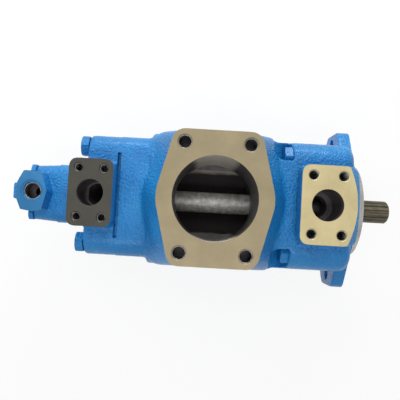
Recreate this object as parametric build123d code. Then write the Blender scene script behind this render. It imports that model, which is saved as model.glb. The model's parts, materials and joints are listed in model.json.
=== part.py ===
"""A triple hydraulic vane pump: a large and a medium vane cartridge on one shaft, with a
small auxiliary vane pump driven from the back of the same shaft.

Frame, in millimetres: +X runs along the shaft and out of its splined end, +Z is the side
that the ports face, and the ears of the mounting flange lie along Y.  The origin is where
the shaft axis meets the mounting face.  The pump lies on the flat backs of its castings.
"""

from build123d import *

import os
from math import acos, atan2, cos, degrees, hypot, pi, sin

# ---------------------------------------------------------------- driving dimensions
# Mounting flange, SAE J744 127-2
PILOT_R = 63.5
PILOT_LENGTH = 12.7
FLANGE_BOLT_Y = 90.5          # half of the 181 mm bolt spacing
FLANGE_BOLT_R = 8.75
FLANGE_THICKNESS = 16.0
FLANGE_DISC_R = 77.5
EAR_Y = 106.5                 # half of the ear to ear length
EAR_HALF_WIDTH = 25.0
EAR_CORNER_R = 10.0
FLANGE_SCOOP_R = 16.5         # room behind each ear for a bolt head
FLANGE_SCOOP_X = -46.0

# Stations along the shaft axis
FRONT_JOINT_X = -74.0         # front housing to inlet housing
REAR_JOINT_X = -304.0         # inlet housing to rear cover
REAR_FACE_X = -344.5          # rear cover to auxiliary pump
AUX_JOINT_X = -390.0          # auxiliary body to auxiliary cover
AUX_END_X = -422.0
SHAFT_END_X = 65.0

# Half sizes of the square castings, and their corner radii
FRONT_HALF, FRONT_CORNER = 82.0, 26.0
BAND_HALF, BAND_CORNER = 85.0, 32.0
REAR_HALF, REAR_CORNER = 77.0, 22.0
AUX_BODY_HALF, AUX_CORNER = 39.5, 13.0
AUX_COVER_HALF = 36.5

# Ports: centre along X, height of the face and of the bore's floor above the shaft axis, bore,
# bolt spacings, and the tapped holes
INLET = dict(x=-181.8, face=125.0, floor=25.0, bore_r=50.8, dx=77.8, dy=130.2, hole_r=7.0, depth=32.0)
OUTLET_1 = dict(x=-48.9, face=118.8, floor=68.0, bore_r=19.05, dx=35.7, dy=69.9, hole_r=5.1, depth=27.0)
OUTLET_2 = dict(x=-330.8, face=111.4, floor=66.0, bore_r=15.9, dx=30.2, dy=58.7, hole_r=4.25, depth=24.0)
AUX_PORT = dict(x=-415.6, face=65.1, floor=40.3, hole_r=10.2, spot_r=14.5, spot_depth=0.8)

# Raised pads of the two flanged outlets
OUTLET_1_PAD = dict(x0=-80.4, x1=-12.0, half_y=47.3, corner=9.5, depth=50.0)
OUTLET_2_PAD = dict(x0=-357.5, x1=REAR_JOINT_X, half_y=40.6, corner=9.5, depth=66.4)
PAD_LIP_Z = 94.0              # underside of the first pad where it hangs over the joint
PAD_CONE_R, PAD_CONE_SLOPE = 107.2, 0.85

# Pressure galleries, and the cored passages that lead down to them
GALLERY_1_R, GALLERY_1_X = 50.0, -36.0
CORE_1_X, CORE_1_R, CORE_1_FLOOR = -51.0, 14.0, 42.0
GALLERY_2_R, GALLERY_2_X = 42.0, -328.0
CORE_2_R, CORE_2_LENGTH, CORE_2_LEAN = 14.0, 44.0, 20.0
AUX_CORE_X, AUX_CORE_R = -411.0, 7.5

# Inlet boss: half sizes of its six-sided face and of its wider foot on the housing
INLET_FACE = dict(half_end=51.0, half_waist=71.5, half_y=80.5, corner=14.0, waist_r=40.0)
INLET_FOOT = dict(half_end=77.0, half_waist=95.0, half_y=84.5, corner=18.0, waist_r=60.0)
INLET_LAND = 9.0              # straight wall under the face
INLET_FOOT_Z = 76.0
INLET_SKIRT = 36.0            # how far the foot goes on down into the housing

# Slots at the rear joint, between the bolt bosses
RELIEF_HALF_WIDTH, RELIEF_DEPTH, RELIEF_HALF_LENGTH = 1.5, 8.0, 54.0

# Hexagon bolts of the two main joints, M16
BOLT_SHANK_R = 6.9
BOLT_TAPPED_R = 7.0
BOLT_CLEARANCE_R = 8.75
BOLT_HEAD_AF = 24.0
BOLT_HEAD_HEIGHT = 10.0
FRONT_BOLT_OFFSET = 62.0      # from the axis, in Y and in Z
REAR_BOLT_OFFSET = 61.5
FRONT_BOLT_SEAT_X = -84.0
FRONT_BOLT_LENGTH, REAR_BOLT_LENGTH = 40.0, 67.5
FRONT_TAP_X, REAR_TAP_X = -40.0, -272.0
POCKET_X = -110.0
POCKET_R, POCKET_END_R = 18.0, 15.0

# Screws that hold the auxiliary pump to the rear cover, M10
AUX_BOLT_OFFSET = 29.0
AUX_BOLT_SHANK_R = 4.2
AUX_BOLT_TAPPED_R = 4.3
AUX_BOLT_CLEARANCE_R = 5.5
AUX_BOLT_AF = 16.0
AUX_BOLT_HEAD = 6.0
AUX_BOLT_LENGTH, AUX_TAP_X = 87.0, -333.0
AUX_HEAD_ROOM_R = 10.0

# Shaft radii
SPLINE_TEETH = 14
SPLINE_TIP_R, SPLINE_ROOT_R = 15.6, 13.4
JOURNAL_R = 17.5
SHOULDER_R = 21.0
FRONT_DRIVE_R, FRONT_DRIVE_ROOT_R = 16.5, 14.7
MIDDLE_SHAFT_R = 14.4
REAR_DRIVE_R, REAR_DRIVE_ROOT_R = 14.3, 12.6
REAR_JOURNAL_R = 12.0
AUX_SHAFT_R = 9.0
AUX_DRIVE_R, AUX_DRIVE_ROOT_R = 7.0, 5.8
DRIVE_TEETH = 10
RUNNING_GAP = 0.05            # radial, between a turning piece and the bore around it
FIT_GAP = 0.1                 # between pieces that are put together and stay still

# Front ball bearing, 35 x 72 x 17
BEARING_X0, BEARING_X1 = -9.0, 8.0
BEARING_R = 36.0
BALL_R = 5.45
BALL_CIRCLE_R = 26.75
BALL_COUNT = 9
RACE_R = 5.6                  # groove radius of both races
INNER_RACE_R, OUTER_RACE_R = 23.8, 29.7

# Shaft seal, in the bore behind the bearing
SEAL_X0, SEAL_X1 = -24.5, -12.5
SEAL_R = 27.5

# Vane cartridges: stations of plate, ring and plate, outer radius, cam radii, rotor and vanes
FRONT_CARTRIDGE = dict(inlet=(-130.0, -118.0), ring=(-118.0, -80.0), outlet=(-80.0, -66.0),
                       hub=(-66.0, -28.0), hub_r=27.0, outer_r=66.0, minor_r=44.0, major_r=49.0,
                       rotor_r=43.4, vane=3.2, vane_root_r=26.0, vanes=12, screw_r=57.5,
                       drive_r=FRONT_DRIVE_R, drive_root_r=FRONT_DRIVE_ROOT_R)
REAR_CARTRIDGE = dict(inlet=(-250.0, -240.0), ring=(-284.0, -250.0), outlet=(-298.0, -284.0),
                      hub=(-334.0, -298.0), hub_r=22.0, outer_r=56.0, minor_r=37.0, major_r=41.0,
                      rotor_r=36.5, vane=2.8, vane_root_r=22.0, vanes=12, screw_r=48.5,
                      drive_r=REAR_DRIVE_R, drive_root_r=REAR_DRIVE_ROOT_R)
PACK_SCREW_R = 2.9
PACK_PIN_R = 3.5
PACK_HEAD_R = 4.9
PACK_HEAD = 6.0
CHAMBER_R = 50.0
AUX_RING = (-384.0, -362.0)
AUX_RING_R = 30.0
AUX_MINOR_R, AUX_MAJOR_R = 20.0, 22.6
AUX_ROTOR_R = 19.6
AUX_VANES = 10
AUX_PLATE_X0 = -394.0
AUX_SEAL_R = 17.0


# ---------------------------------------------------------------- small helpers
def slab(sketch, x0, x1):
    """A sketch drawn in (y, z), extruded from x0 to x1."""
    return extrude(Plane.YZ.offset(x0) * sketch, amount=x1 - x0, dir=(1, 0, 0))


def rod(r, x0, x1, y=0.0, z=0.0):
    """A round bar along X."""
    return slab(Pos(y, z) * Circle(r), x0, x1)


def ring(r_outer, r_inner, x0, x1):
    return slab(Circle(r_outer) - Circle(r_inner), x0, x1)


def facing(sketch, height, depth):
    """A sketch drawn in (x, y) at this height, extruded downwards."""
    return extrude(Plane.XY.offset(height) * sketch, amount=depth, dir=(0, 0, -1))


def drilled(x, y, r, height, floor):
    """A round bar along Z, from the height down to the floor."""
    return facing(Pos(x, y) * Circle(r), height, height - floor)


def square(half, corner):
    return RectangleRounded(2 * half, 2 * half, corner)


def corners(offset):
    """The four (y, z) places of a square bolt pattern."""
    return [(sy * offset, sz * offset) for sy in (-1, 1) for sz in (-1, 1)]


def around(count, start=0.0):
    """Evenly spaced angles in degrees."""
    return [start + 360.0 * i / count for i in range(count)]


def edges_at(part, axis, value, tolerance=0.05):
    """Edges that lie wholly in the plane axis = value."""
    found = []
    for edge in part.edges():
        box = edge.bounding_box()
        low = getattr(box.min, axis)
        high = getattr(box.max, axis)
        if abs(low - value) < tolerance and abs(high - value) < tolerance:
            found.append(edge)
    return found


def toothed(count, root_r, tip_r, root_share, tip_share):
    """A straight-sided spline section: a tooth spans root_share of its pitch at the root and
    tip_share of it at the tip."""
    pitch = 2 * pi / count
    tooth = ((root_r, -root_share), (tip_r, -tip_share), (tip_r, tip_share), (root_r, root_share))
    points = []
    for i in range(count):
        for r, share in tooth:
            angle = i * pitch + share * pitch / 2
            points.append((r * cos(angle), r * sin(angle)))
    return Polygon(*points, align=None)


def spline_bore(root_r, tip_r, gap):
    """The internal spline that takes a shaft spline of these radii, with a gap all round."""
    return toothed(DRIVE_TEETH, root_r + gap, tip_r + gap, 0.58 + 0.02, 0.40 + 0.02)


def spline_drive(root_r, tip_r):
    return toothed(DRIVE_TEETH, root_r, tip_r, 0.58, 0.40)


def hexagon(across_flats, y, z):
    """A hexagon with two flats facing along Y."""
    return Pos(y, z) * RegularPolygon(across_flats / 2, 6, major_radius=False, rotation=30)


def headed_bolt(seat_x, y, z, af, head, shank_r, length):
    """A hexagon bolt along X, with its head on the -X side of its seat."""
    top = seat_x - head
    crown_r = af / 2 + 0.3
    crown = Plane.YZ.offset(top) * Pos(y, z) * Cone(
        crown_r, crown_r + head, head, align=(Align.CENTER, Align.CENTER, Align.MIN))
    bolt = slab(hexagon(af, y, z), top, seat_x) & crown
    return bolt + rod(shank_r, seat_x - 0.5, seat_x + length, y, z)


def save(name, shape):
    """Writes one sub-part, as a group when it holds several solids."""
    solids = shape if isinstance(shape, list) else list(shape.solids())
    body = solids[0] if len(solids) == 1 else Compound(children=[Solid(s.wrapped) for s in solids])
    export_step(body, f"parts/{name}.step")


# ---------------------------------------------------------------- port faces
def port_pad(port, x0, x1, half_y, corner, depth):
    """The raised block under a flanged port's face."""
    outline = Pos((x0 + x1) / 2, 0) * RectangleRounded(x1 - x0, 2 * half_y, corner)
    return facing(outline, port["face"], depth)


def port_cuts(port):
    """What is machined from above at a flanged port: its bore and its four tapped holes."""
    over = port["face"] + 1
    cuts = [drilled(port["x"], 0, port["bore_r"], over, port["floor"])]
    for sx in (-1, 1):
        for sy in (-1, 1):
            x = port["x"] + sx * port["dx"] / 2
            y = sy * port["dy"] / 2
            cuts.append(drilled(x, y, port["hole_r"], over, port["face"] - port["depth"]))
    return cuts


# ---------------------------------------------------------------- castings
def flange_outline():
    """The two-bolt flange: a disc joined to its ears by tangent lines."""
    reach = hypot(EAR_HALF_WIDTH, EAR_Y)
    tangent = atan2(EAR_HALF_WIDTH, EAR_Y) + acos(FLANGE_DISC_R / reach)
    ty, tz = FLANGE_DISC_R * cos(tangent), FLANGE_DISC_R * sin(tangent)
    web = Polygon((EAR_Y, -EAR_HALF_WIDTH), (EAR_Y, EAR_HALF_WIDTH), (ty, tz), (-ty, tz),
                  (-EAR_Y, EAR_HALF_WIDTH), (-EAR_Y, -EAR_HALF_WIDTH), (-ty, -tz), (ty, -tz), align=None)
    tips = [v for v in web.vertices() if abs(v.X) > EAR_Y - 1]
    return fillet(tips, EAR_CORNER_R) + Circle(FLANGE_DISC_R)


def outlet_pad():
    """The first outlet's pad: it leans over the joint, and its front is turned to a cone."""
    pad = port_pad(OUTLET_1, **OUTLET_1_PAD)
    under_lip = (Align.MAX, Align.CENTER, Align.MAX)
    pad -= Pos(FRONT_JOINT_X, 0, PAD_LIP_Z) * Box(20, 2.5 * OUTLET_1_PAD["half_y"], 40, align=under_lip)
    back, far = 40.0, 170.0
    beyond = Polygon((0.0, PAD_CONE_R), (0.0, far), (-back, far), (-back, PAD_CONE_R + PAD_CONE_SLOPE * back),
                     align=None)
    return pad - revolve(Plane.XY * beyond, axis=Axis.X)


def front_housing():
    """Shaft-end casting: mounting flange, pilot, bearing and seal bores, and the first outlet."""
    block_front, front_round = -5.0, 14.0
    body = slab(square(FRONT_HALF, FRONT_CORNER), FRONT_JOINT_X, block_front)
    body = fillet(edges_at(body, "X", block_front), front_round)
    flange = slab(flange_outline(), -FLANGE_THICKNESS, 0)
    pilot = rod(PILOT_R, 0, PILOT_LENGTH)
    pilot = chamfer(edges_at(pilot, "X", PILOT_LENGTH), 1.2)
    casting = body + flange + outlet_pad() + pilot
    # flange bolt holes, and the scoops that clear the bolt heads behind the ears
    for sy in (-1, 1):
        casting -= rod(FLANGE_BOLT_R, -30, 1, sy * FLANGE_BOLT_Y, 0)
        casting -= rod(FLANGE_SCOOP_R, FLANGE_SCOOP_X, -FLANGE_THICKNESS, sy * FLANGE_BOLT_Y, 0)
    # bores, from the cartridge side to the pilot
    cartridge = FRONT_CARTRIDGE
    casting -= rod(cartridge["outer_r"] + FIT_GAP, FRONT_JOINT_X - 1, cartridge["outlet"][1])
    casting -= rod(GALLERY_1_R, cartridge["outlet"][1] - 1, GALLERY_1_X)
    casting -= rod(cartridge["hub_r"] + FIT_GAP, GALLERY_1_X - 1, -27.5)
    casting -= rod(JOURNAL_R + 1.5, -28, SEAL_X0)
    casting -= rod(SEAL_R, SEAL_X0, SEAL_X1)
    casting -= rod(30.0, SEAL_X1, BEARING_X0)
    casting -= rod(BEARING_R, BEARING_X0, PILOT_LENGTH + 1)
    casting -= ring(BEARING_R + 2.2, BEARING_R - 1, BEARING_X1, BEARING_X1 + 2.2)
    # first outlet, with a narrower cored passage from its floor down to the pressure gallery
    casting -= drilled(CORE_1_X, 0, CORE_1_R, OUTLET_1["floor"] + 1, CORE_1_FLOOR)
    for cut in port_cuts(OUTLET_1):
        casting -= cut
    for y, z in corners(FRONT_BOLT_OFFSET):
        casting -= rod(BOLT_TAPPED_R, FRONT_JOINT_X - 1, FRONT_TAP_X, y, z)
    return casting


def six_sided(half_end, half_waist, half_y, corner, waist_r):
    """The inlet boss's outline: two short ends, and four long sides that meet at the waist."""
    six = Polygon((-half_end, half_y), (half_end, half_y), (half_waist, 0), (half_end, -half_y),
                  (-half_end, -half_y), (-half_waist, 0), align=None)
    ends = [v for v in six.vertices() if abs(v.Y) > 1]
    six = fillet(ends, corner)
    waist = [v for v in six.vertices() if abs(v.Y) < 0.1]
    return fillet(waist, waist_r)


def inlet_boss():
    """The flared boss under the large inlet port, from its face to its wide foot."""
    centre = Pos(INLET["x"], 0)
    flare_top = INLET["face"] - INLET_LAND
    top = Plane.XY.offset(flare_top) * centre * six_sided(**INLET_FACE)
    foot = Plane.XY.offset(INLET_FOOT_Z) * centre * six_sided(**INLET_FOOT)
    flare = loft([foot.faces()[0], top.faces()[0]], ruled=True)
    land = facing(centre * six_sided(**INLET_FACE), INLET["face"], INLET_LAND + 0.5)
    skirt = facing(centre * six_sided(**INLET_FOOT), INLET_FOOT_Z, INLET_SKIRT)
    return land + flare + skirt


def bolt_pocket(sy, sz):
    """The scoop in a corner that makes room for the head of a front joint bolt."""
    turn = degrees(atan2(sz, sy))
    reach, open_length = FRONT_BOLT_OFFSET * 2 ** 0.5, 40.0
    outline = Pos(reach, 0) * Circle(POCKET_R)
    outline += Pos(reach + open_length / 2, 0) * Rectangle(open_length, 2 * POCKET_R)
    scoop = slab(Rot(0, 0, turn) * outline, POCKET_X, FRONT_BOLT_SEAT_X)
    return fillet(edges_at(scoop, "X", POCKET_X), POCKET_END_R)


def joint_relief(x0, x1, turn):
    """The slot between two bolt bosses, where the castings stand apart."""
    beyond = 10.0
    middle = REAR_HALF + (beyond - RELIEF_DEPTH) / 2
    bar = Pos(middle, 0) * Rectangle(RELIEF_DEPTH + beyond, 2 * RELIEF_HALF_LENGTH)
    return slab(Rot(0, 0, turn) * bar, x0, x1)


def inlet_housing():
    """Middle casting: the large inlet port and the chamber that feeds both cartridges."""
    band_x0, band_x1 = -264.0, -106.0
    front = slab(square(FRONT_HALF, FRONT_CORNER), band_x1 - 6, FRONT_JOINT_X)
    band_outline = RectangleRounded(2 * BAND_HALF, 2 * FRONT_HALF, BAND_CORNER)
    band = slab(band_outline, band_x0, band_x1)
    band = fillet(edges_at(band, "X", band_x0) + edges_at(band, "X", band_x1), 5.0)
    small = Plane.YZ.offset(REAR_JOINT_X) * square(REAR_HALF + 0.5, REAR_CORNER)
    large = Plane.YZ.offset(band_x0 + 6) * square(REAR_HALF + 2.5, REAR_CORNER + 4)
    rear = loft([small.faces()[0], large.faces()[0]])
    casting = front + band + rear + inlet_boss()
    for y, z in corners(1):
        casting -= bolt_pocket(y, z)
    # bores of the cartridges, the chamber between them and the port
    front_pack, rear_pack = FRONT_CARTRIDGE, REAR_CARTRIDGE
    casting -= rod(front_pack["outer_r"] + FIT_GAP, front_pack["inlet"][0], FRONT_JOINT_X + 1)
    casting -= rod(rear_pack["outer_r"] + FIT_GAP, REAR_JOINT_X - 1, rear_pack["inlet"][1])
    casting -= rod(CHAMBER_R, rear_pack["inlet"][1] - 1, front_pack["inlet"][0] + 1)
    for cut in port_cuts(INLET):
        casting -= cut
    for y, z in corners(FRONT_BOLT_OFFSET):
        casting -= rod(BOLT_CLEARANCE_R, FRONT_BOLT_SEAT_X - 1, FRONT_JOINT_X + 1, y, z)
    for y, z in corners(REAR_BOLT_OFFSET):
        casting -= rod(BOLT_TAPPED_R, REAR_JOINT_X - 1, REAR_TAP_X, y, z)
    for turn in (0, 90, 180):
        casting -= joint_relief(REAR_JOINT_X - 1, REAR_JOINT_X + RELIEF_HALF_WIDTH, turn)
    # seat of the front joint seal
    casting -= ring(72.6, 66, FRONT_JOINT_X - 3, FRONT_JOINT_X + 1)
    return casting


def rear_cover():
    """Rear casting: the second outlet and the seat of the auxiliary pump."""
    body = slab(square(REAR_HALF, REAR_CORNER), REAR_FACE_X, REAR_JOINT_X)
    body = fillet(edges_at(body, "X", REAR_FACE_X), 4.0)
    pad = port_pad(OUTLET_2, **OUTLET_2_PAD)
    # the underside of the pad slopes back to the cover
    edge_x, low_z = OUTLET_2_PAD["x0"] - 1, OUTLET_2["face"] - OUTLET_2_PAD["depth"] - 1
    slope = Polygon((edge_x, low_z), (REAR_FACE_X, low_z), (edge_x, low_z + 19), align=None)
    pad -= extrude(Plane.XZ * slope, amount=60, both=True)
    casting = body + pad
    casting -= rod(GALLERY_2_R, GALLERY_2_X, REAR_JOINT_X + 1)
    casting -= rod(REAR_CARTRIDGE["hub_r"] + FIT_GAP, -335, GALLERY_2_X + 1)
    casting -= rod(AUX_SEAL_R, -342, -334)
    casting -= rod(AUX_SHAFT_R + 1.5, REAR_FACE_X - 1, -341)
    # second outlet, with a cored passage that leans from its floor into the gallery
    for cut in port_cuts(OUTLET_2):
        casting -= cut
    casting -= Pos(OUTLET_2["x"], 0, OUTLET_2["floor"] + 4) * Rot(0, -CORE_2_LEAN, 0) * Cylinder(
        CORE_2_R, CORE_2_LENGTH, align=(Align.CENTER, Align.CENTER, Align.MAX))
    for y, z in corners(REAR_BOLT_OFFSET):
        casting -= rod(BOLT_CLEARANCE_R, REAR_FACE_X - 1, REAR_JOINT_X + 1, y, z)
    for y, z in corners(AUX_BOLT_OFFSET):
        casting -= rod(AUX_BOLT_TAPPED_R, REAR_FACE_X - 1, AUX_TAP_X, y, z)
    for turn in (0, 90, 180):
        casting -= joint_relief(REAR_JOINT_X - RELIEF_HALF_WIDTH, REAR_JOINT_X + 1, turn)
    # seat of the rear joint seal
    casting -= ring(60.6, 57, REAR_JOINT_X - 2.6, REAR_JOINT_X + 1)
    return casting


def aux_body():
    """Body of the auxiliary pump, around its cam ring."""
    body = slab(square(AUX_BODY_HALF, AUX_CORNER), AUX_JOINT_X, REAR_FACE_X)
    body -= rod(AUX_RING_R + FIT_GAP, AUX_JOINT_X - 1, -357)
    body -= rod(12.0, -358, REAR_FACE_X + 1)
    for y, z in corners(AUX_BOLT_OFFSET):
        body -= rod(AUX_BOLT_CLEARANCE_R, AUX_JOINT_X - 1, REAR_FACE_X + 1, y, z)
    # seats of the two face seals
    body -= ring(26.1, 23.5, REAR_FACE_X - 2, REAR_FACE_X + 1)
    body -= ring(34.1, 31.5, AUX_JOINT_X - 1, AUX_JOINT_X + 2)
    return body


def aux_port_boss():
    """The many-sided boss of the auxiliary outlet, with the lug behind it."""
    floor = 20.0
    outline = Polygon((-12, 26), (10, 26), (19, 2), (13.5, -23), (-2, -26), (-13.4, -24.4), (-19.5, -10.6),
                      (-19.5, 11), align=None)
    outline = fillet(outline.vertices(), 3.0)
    centre = Pos(AUX_PORT["x"], 0)
    boss = facing(centre * outline, AUX_PORT["face"], AUX_PORT["face"] - floor)
    boss = chamfer(edges_at(boss, "Z", AUX_PORT["face"]), 1.0)
    lug_x0, lug_x1, lug_top, lug_depth = -441.0, -430.0, 61.0, 30.0
    lug_outline = Pos((lug_x0 + lug_x1) / 2, -0.5) * RectangleRounded(lug_x1 - lug_x0, 21, 2.5)
    lug = facing(lug_outline, lug_top, lug_depth)
    # where the boss hangs out past the cover, its underside slopes back
    slope = Polygon((lug_x0 - 1, floor - 1), (AUX_END_X, floor - 1), (lug_x0 - 1, floor + 20), align=None)
    return boss + lug - extrude(Plane.XZ * slope, amount=30, both=True)


def aux_cover():
    """Cover of the auxiliary pump, with its threaded outlet."""
    front = Plane.YZ.offset(AUX_JOINT_X) * square(AUX_BODY_HALF - 0.5, AUX_CORNER)
    back = Plane.YZ.offset(AUX_END_X) * square(AUX_COVER_HALF, AUX_CORNER)
    cover = loft([back.faces()[0], front.faces()[0]])
    cover = fillet(edges_at(cover, "X", AUX_END_X), 3.0)
    cover += aux_port_boss()
    for y, z in corners(AUX_BOLT_OFFSET):
        cover -= rod(AUX_BOLT_CLEARANCE_R, AUX_END_X - 1, AUX_JOINT_X + 1, y, z)
        cover -= rod(AUX_HEAD_ROOM_R, AUX_END_X - 20, AUX_END_X, y, z)
    # stepped inside: room for the pressure plate, for its spring, and the discharge space
    cover -= rod(AUX_RING_R + FIT_GAP, -397, AUX_JOINT_X + 1)
    cover -= rod(24.0, -402, -396)
    cover -= rod(11.0, -417, -401)
    # threaded port in its spot face, with a cored passage down to the discharge space
    x, face, hole_r = AUX_PORT["x"], AUX_PORT["face"], AUX_PORT["hole_r"]
    spot, lip = face - AUX_PORT["spot_depth"], 1.6
    cover -= drilled(x, 0, AUX_PORT["spot_r"], face + 1, spot)
    cover -= Pos(x, 0, spot - lip / 2) * Cone(hole_r, hole_r + lip, lip)
    cover -= drilled(x, 0, hole_r, face + 1, AUX_PORT["floor"])
    return cover - drilled(AUX_CORE_X, 0, AUX_CORE_R, AUX_PORT["floor"] + 1, 0)


# ---------------------------------------------------------------- shaft and bearing
def drive_shaft():
    """Main shaft: input spline, journals, one spline for each rotor, and a splined back bore."""
    tip_chamfer, spline_x0, reach = 2.5, 14.0, 60.0
    shaft = slab(toothed(SPLINE_TEETH, SPLINE_ROOT_R, SPLINE_TIP_R, 0.62, 0.34), spline_x0, SHAFT_END_X)
    blunt = Plane.YZ.offset(SHAFT_END_X) * Cone(
        SPLINE_TIP_R + reach, SPLINE_TIP_R - tip_chamfer, reach + tip_chamfer,
        align=(Align.CENTER, Align.CENTER, Align.MAX))
    shaft = shaft & blunt
    steps = ((SPLINE_ROOT_R, 9.5, spline_x0), (JOURNAL_R, BEARING_X0, 8.0), (JOURNAL_R - 1.0, 8.0, 9.5),
             (SHOULDER_R, -11.5, BEARING_X0), (JOURNAL_R, -34.0, -11.5), (FRONT_DRIVE_R, -70.0, -34.0),
             (MIDDLE_SHAFT_R, -250.0, -118.0), (REAR_JOURNAL_R, -333.0, -284.0))
    for r, x0, x1 in steps:
        shaft += rod(r, x0, x1)
    shaft += slab(spline_drive(FRONT_DRIVE_ROOT_R, FRONT_DRIVE_R), -118.0, -70.0)
    shaft += slab(spline_drive(REAR_DRIVE_ROOT_R, REAR_DRIVE_R), -284.0, -250.0)
    shaft -= slab(spline_bore(AUX_DRIVE_ROOT_R, AUX_DRIVE_R, FIT_GAP), -334.0, -314.0)
    return shaft


def race_groove():
    """The torus that the balls run in."""
    middle = (BEARING_X0 + BEARING_X1) / 2
    return revolve(Plane.XY * Pos(middle, BALL_CIRCLE_R) * Circle(RACE_R), axis=Axis.X)


def bearing_inner_ring():
    return ring(INNER_RACE_R, JOURNAL_R, BEARING_X0, BEARING_X1) - race_groove()


def bearing_outer_ring():
    return ring(BEARING_R, OUTER_RACE_R, BEARING_X0, BEARING_X1) - race_groove()


def ball_places():
    middle = (BEARING_X0 + BEARING_X1) / 2
    return [Rot(angle, 0, 0) * Pos(middle, BALL_CIRCLE_R, 0) for angle in around(BALL_COUNT)]


def bearing_balls():
    return [place * Sphere(BALL_R) for place in ball_places()]


def bearing_cage():
    """The band between the races, with a pocket for each ball."""
    middle, half = (BEARING_X0 + BEARING_X1) / 2, 7.0
    cage = ring(BALL_CIRCLE_R + 1.6, BALL_CIRCLE_R - 1.6, middle - half, middle + half)
    for place in ball_places():
        cage -= place * Rot(90, 0, 0) * Cylinder(BALL_R + 0.12, 12)
    return cage


def circlip(r_outer, r_inner, x0, thickness, gap_half):
    """A spring ring with an opening and two eyes at its ends."""
    clip = Circle(r_outer) - Circle(r_inner)
    inside = r_inner < BEARING_R and r_outer > BEARING_R
    mean = r_inner - 1.0 if inside else r_outer + 1.0
    clip -= Pos(0, mean) * Rectangle(2 * gap_half, 3 * (r_outer - r_inner) + 8)
    for side in (-1, 1):
        eye = Pos(side * (gap_half + 2.4), mean) * (Circle(2.6) - Circle(1.1))
        clip += eye
    return slab(clip, x0, x0 + thickness)


def bearing_retaining_ring():
    return circlip(BEARING_R + 2.0, BEARING_R - 3.0, BEARING_X1 + 0.1, 2.0, 4.5)


def shaft_snap_ring():
    return circlip(JOURNAL_R + 2.2, JOURNAL_R - 0.9, BEARING_X1 + 0.05, 1.4, 3.0)


def shaft_seal_case():
    """Pressed steel cup of the shaft seal."""
    outer_r, wall = SEAL_R - 0.02, 1.2
    profile = Polygon((SEAL_X0, outer_r), (SEAL_X1, outer_r), (SEAL_X1, 21.5), (SEAL_X1 - wall, 21.5),
                      (SEAL_X1 - wall, SEAL_R - wall), (SEAL_X0, SEAL_R - wall), align=None)
    return revolve(Plane.XY * profile, axis=Axis.X)


def shaft_seal_lip():
    """Rubber lip of the shaft seal, which just clears the journal."""
    lip_r = JOURNAL_R + RUNNING_GAP
    profile = Polygon((SEAL_X1 - 1.2, SEAL_R - 1.2), (SEAL_X1 - 1.2, 20.0), (-19.5, lip_r), (-21.0, lip_r),
                      (-22.5, 19.6), (-22.5, 22.0), (-16.5, 22.6), (-15.0, SEAL_R - 1.2), align=None)
    return revolve(Plane.XY * profile, axis=Axis.X)


def shaft_seal_spring():
    """Garter spring that presses the lip, as a plain ring."""
    return revolve(Plane.XY * Pos(-19.8, 23.8) * Circle(1.0), axis=Axis.X)


# ---------------------------------------------------------------- vane cartridges
def cam_ring(pack):
    """Ring with an oval bore, which makes the vanes slide in and out twice a turn."""
    outline = Circle(pack["outer_r"] - 2.0) - Rot(0, 0, 45) * Ellipse(pack["major_r"], pack["minor_r"])
    body = slab(outline, *pack["ring"])
    x0, x1 = pack["ring"]
    # inlet notches on the side that faces the chamber
    chamber_side = x0 if pack is FRONT_CARTRIDGE else x1
    for angle in (45, 225):
        body -= Rot(angle, 0, 0) * Pos(chamber_side, pack["outer_r"] - 8, 0) * Box(14, 34, 26)
    return drill_pack(body, pack)


def drill_pack(body, pack, r_extra=FIT_GAP):
    """Through holes for the two cartridge screws and the two locating pins."""
    for angle in (0, 180):
        body -= Rot(angle, 0, 0) * rod(PACK_SCREW_R + r_extra, -340, -20, pack["screw_r"], 0)
    for angle in (90, 270):
        body -= Rot(angle, 0, 0) * rod(PACK_PIN_R + r_extra, -340, -20, pack["screw_r"], 0)
    return body


def kidneys(pack, centre_angle, sweep=46.0, height=7.0):
    """Two curved windows on opposite sides, in line with the ends of the vanes."""
    mean_r = (pack["minor_r"] + pack["major_r"]) / 2 - 1.5
    cuts = None
    for turn in (centre_angle, centre_angle + 180):
        slot = SlotArc(CenterArc((0, 0), mean_r, turn - sweep / 2, sweep), height)
        cuts = slot if cuts is None else cuts + slot
    return cuts


def inlet_plate(pack, bore_r):
    """Side plate next to the inlet chamber, with its two suction windows."""
    x0, x1 = pack["inlet"]
    outline = Circle(pack["outer_r"]) - Circle(bore_r) - kidneys(pack, 45)
    plate = slab(outline, x0, x1)
    plate = drill_pack(plate, pack)
    chamber_side = x0 if pack is FRONT_CARTRIDGE else x1
    for angle in (0, 180):
        low, high = (chamber_side, chamber_side + PACK_HEAD + 0.3)
        if pack is REAR_CARTRIDGE:
            low, high = (chamber_side - PACK_HEAD - 0.3, chamber_side)
        plate -= Rot(angle, 0, 0) * rod(PACK_HEAD_R + FIT_GAP, low, high, pack["screw_r"], 0)
    return plate


def outlet_plate(pack, bore_r):
    """Side plate on the pressure side, with its hub and its two pressure windows."""
    x0, x1 = pack["outlet"]
    seal_depth, seal_section = 3.0, 3.0
    outline = Circle(pack["outer_r"]) - kidneys(pack, 135)
    plate = slab(outline, x0, x1) + rod(pack["hub_r"], *pack["hub"])
    plate -= rod(bore_r, -340, 0)
    middle = (x0 + x1) / 2
    plate -= ring(pack["outer_r"] + 1, pack["outer_r"] - seal_depth, middle - seal_section / 2,
                  middle + seal_section / 2)
    hub_seal_x = hub_seal_start(pack)
    plate -= ring(pack["hub_r"] + 1, pack["hub_r"] - 2.5, hub_seal_x, hub_seal_x + 2.5)
    for angle in (0, 180):
        plate -= Rot(angle, 0, 0) * rod(PACK_SCREW_R + FIT_GAP, *blind(pack), pack["screw_r"], 0)
    for angle in (90, 270):
        plate -= Rot(angle, 0, 0) * rod(PACK_PIN_R + FIT_GAP, *blind(pack), pack["screw_r"], 0)
    return plate


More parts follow.
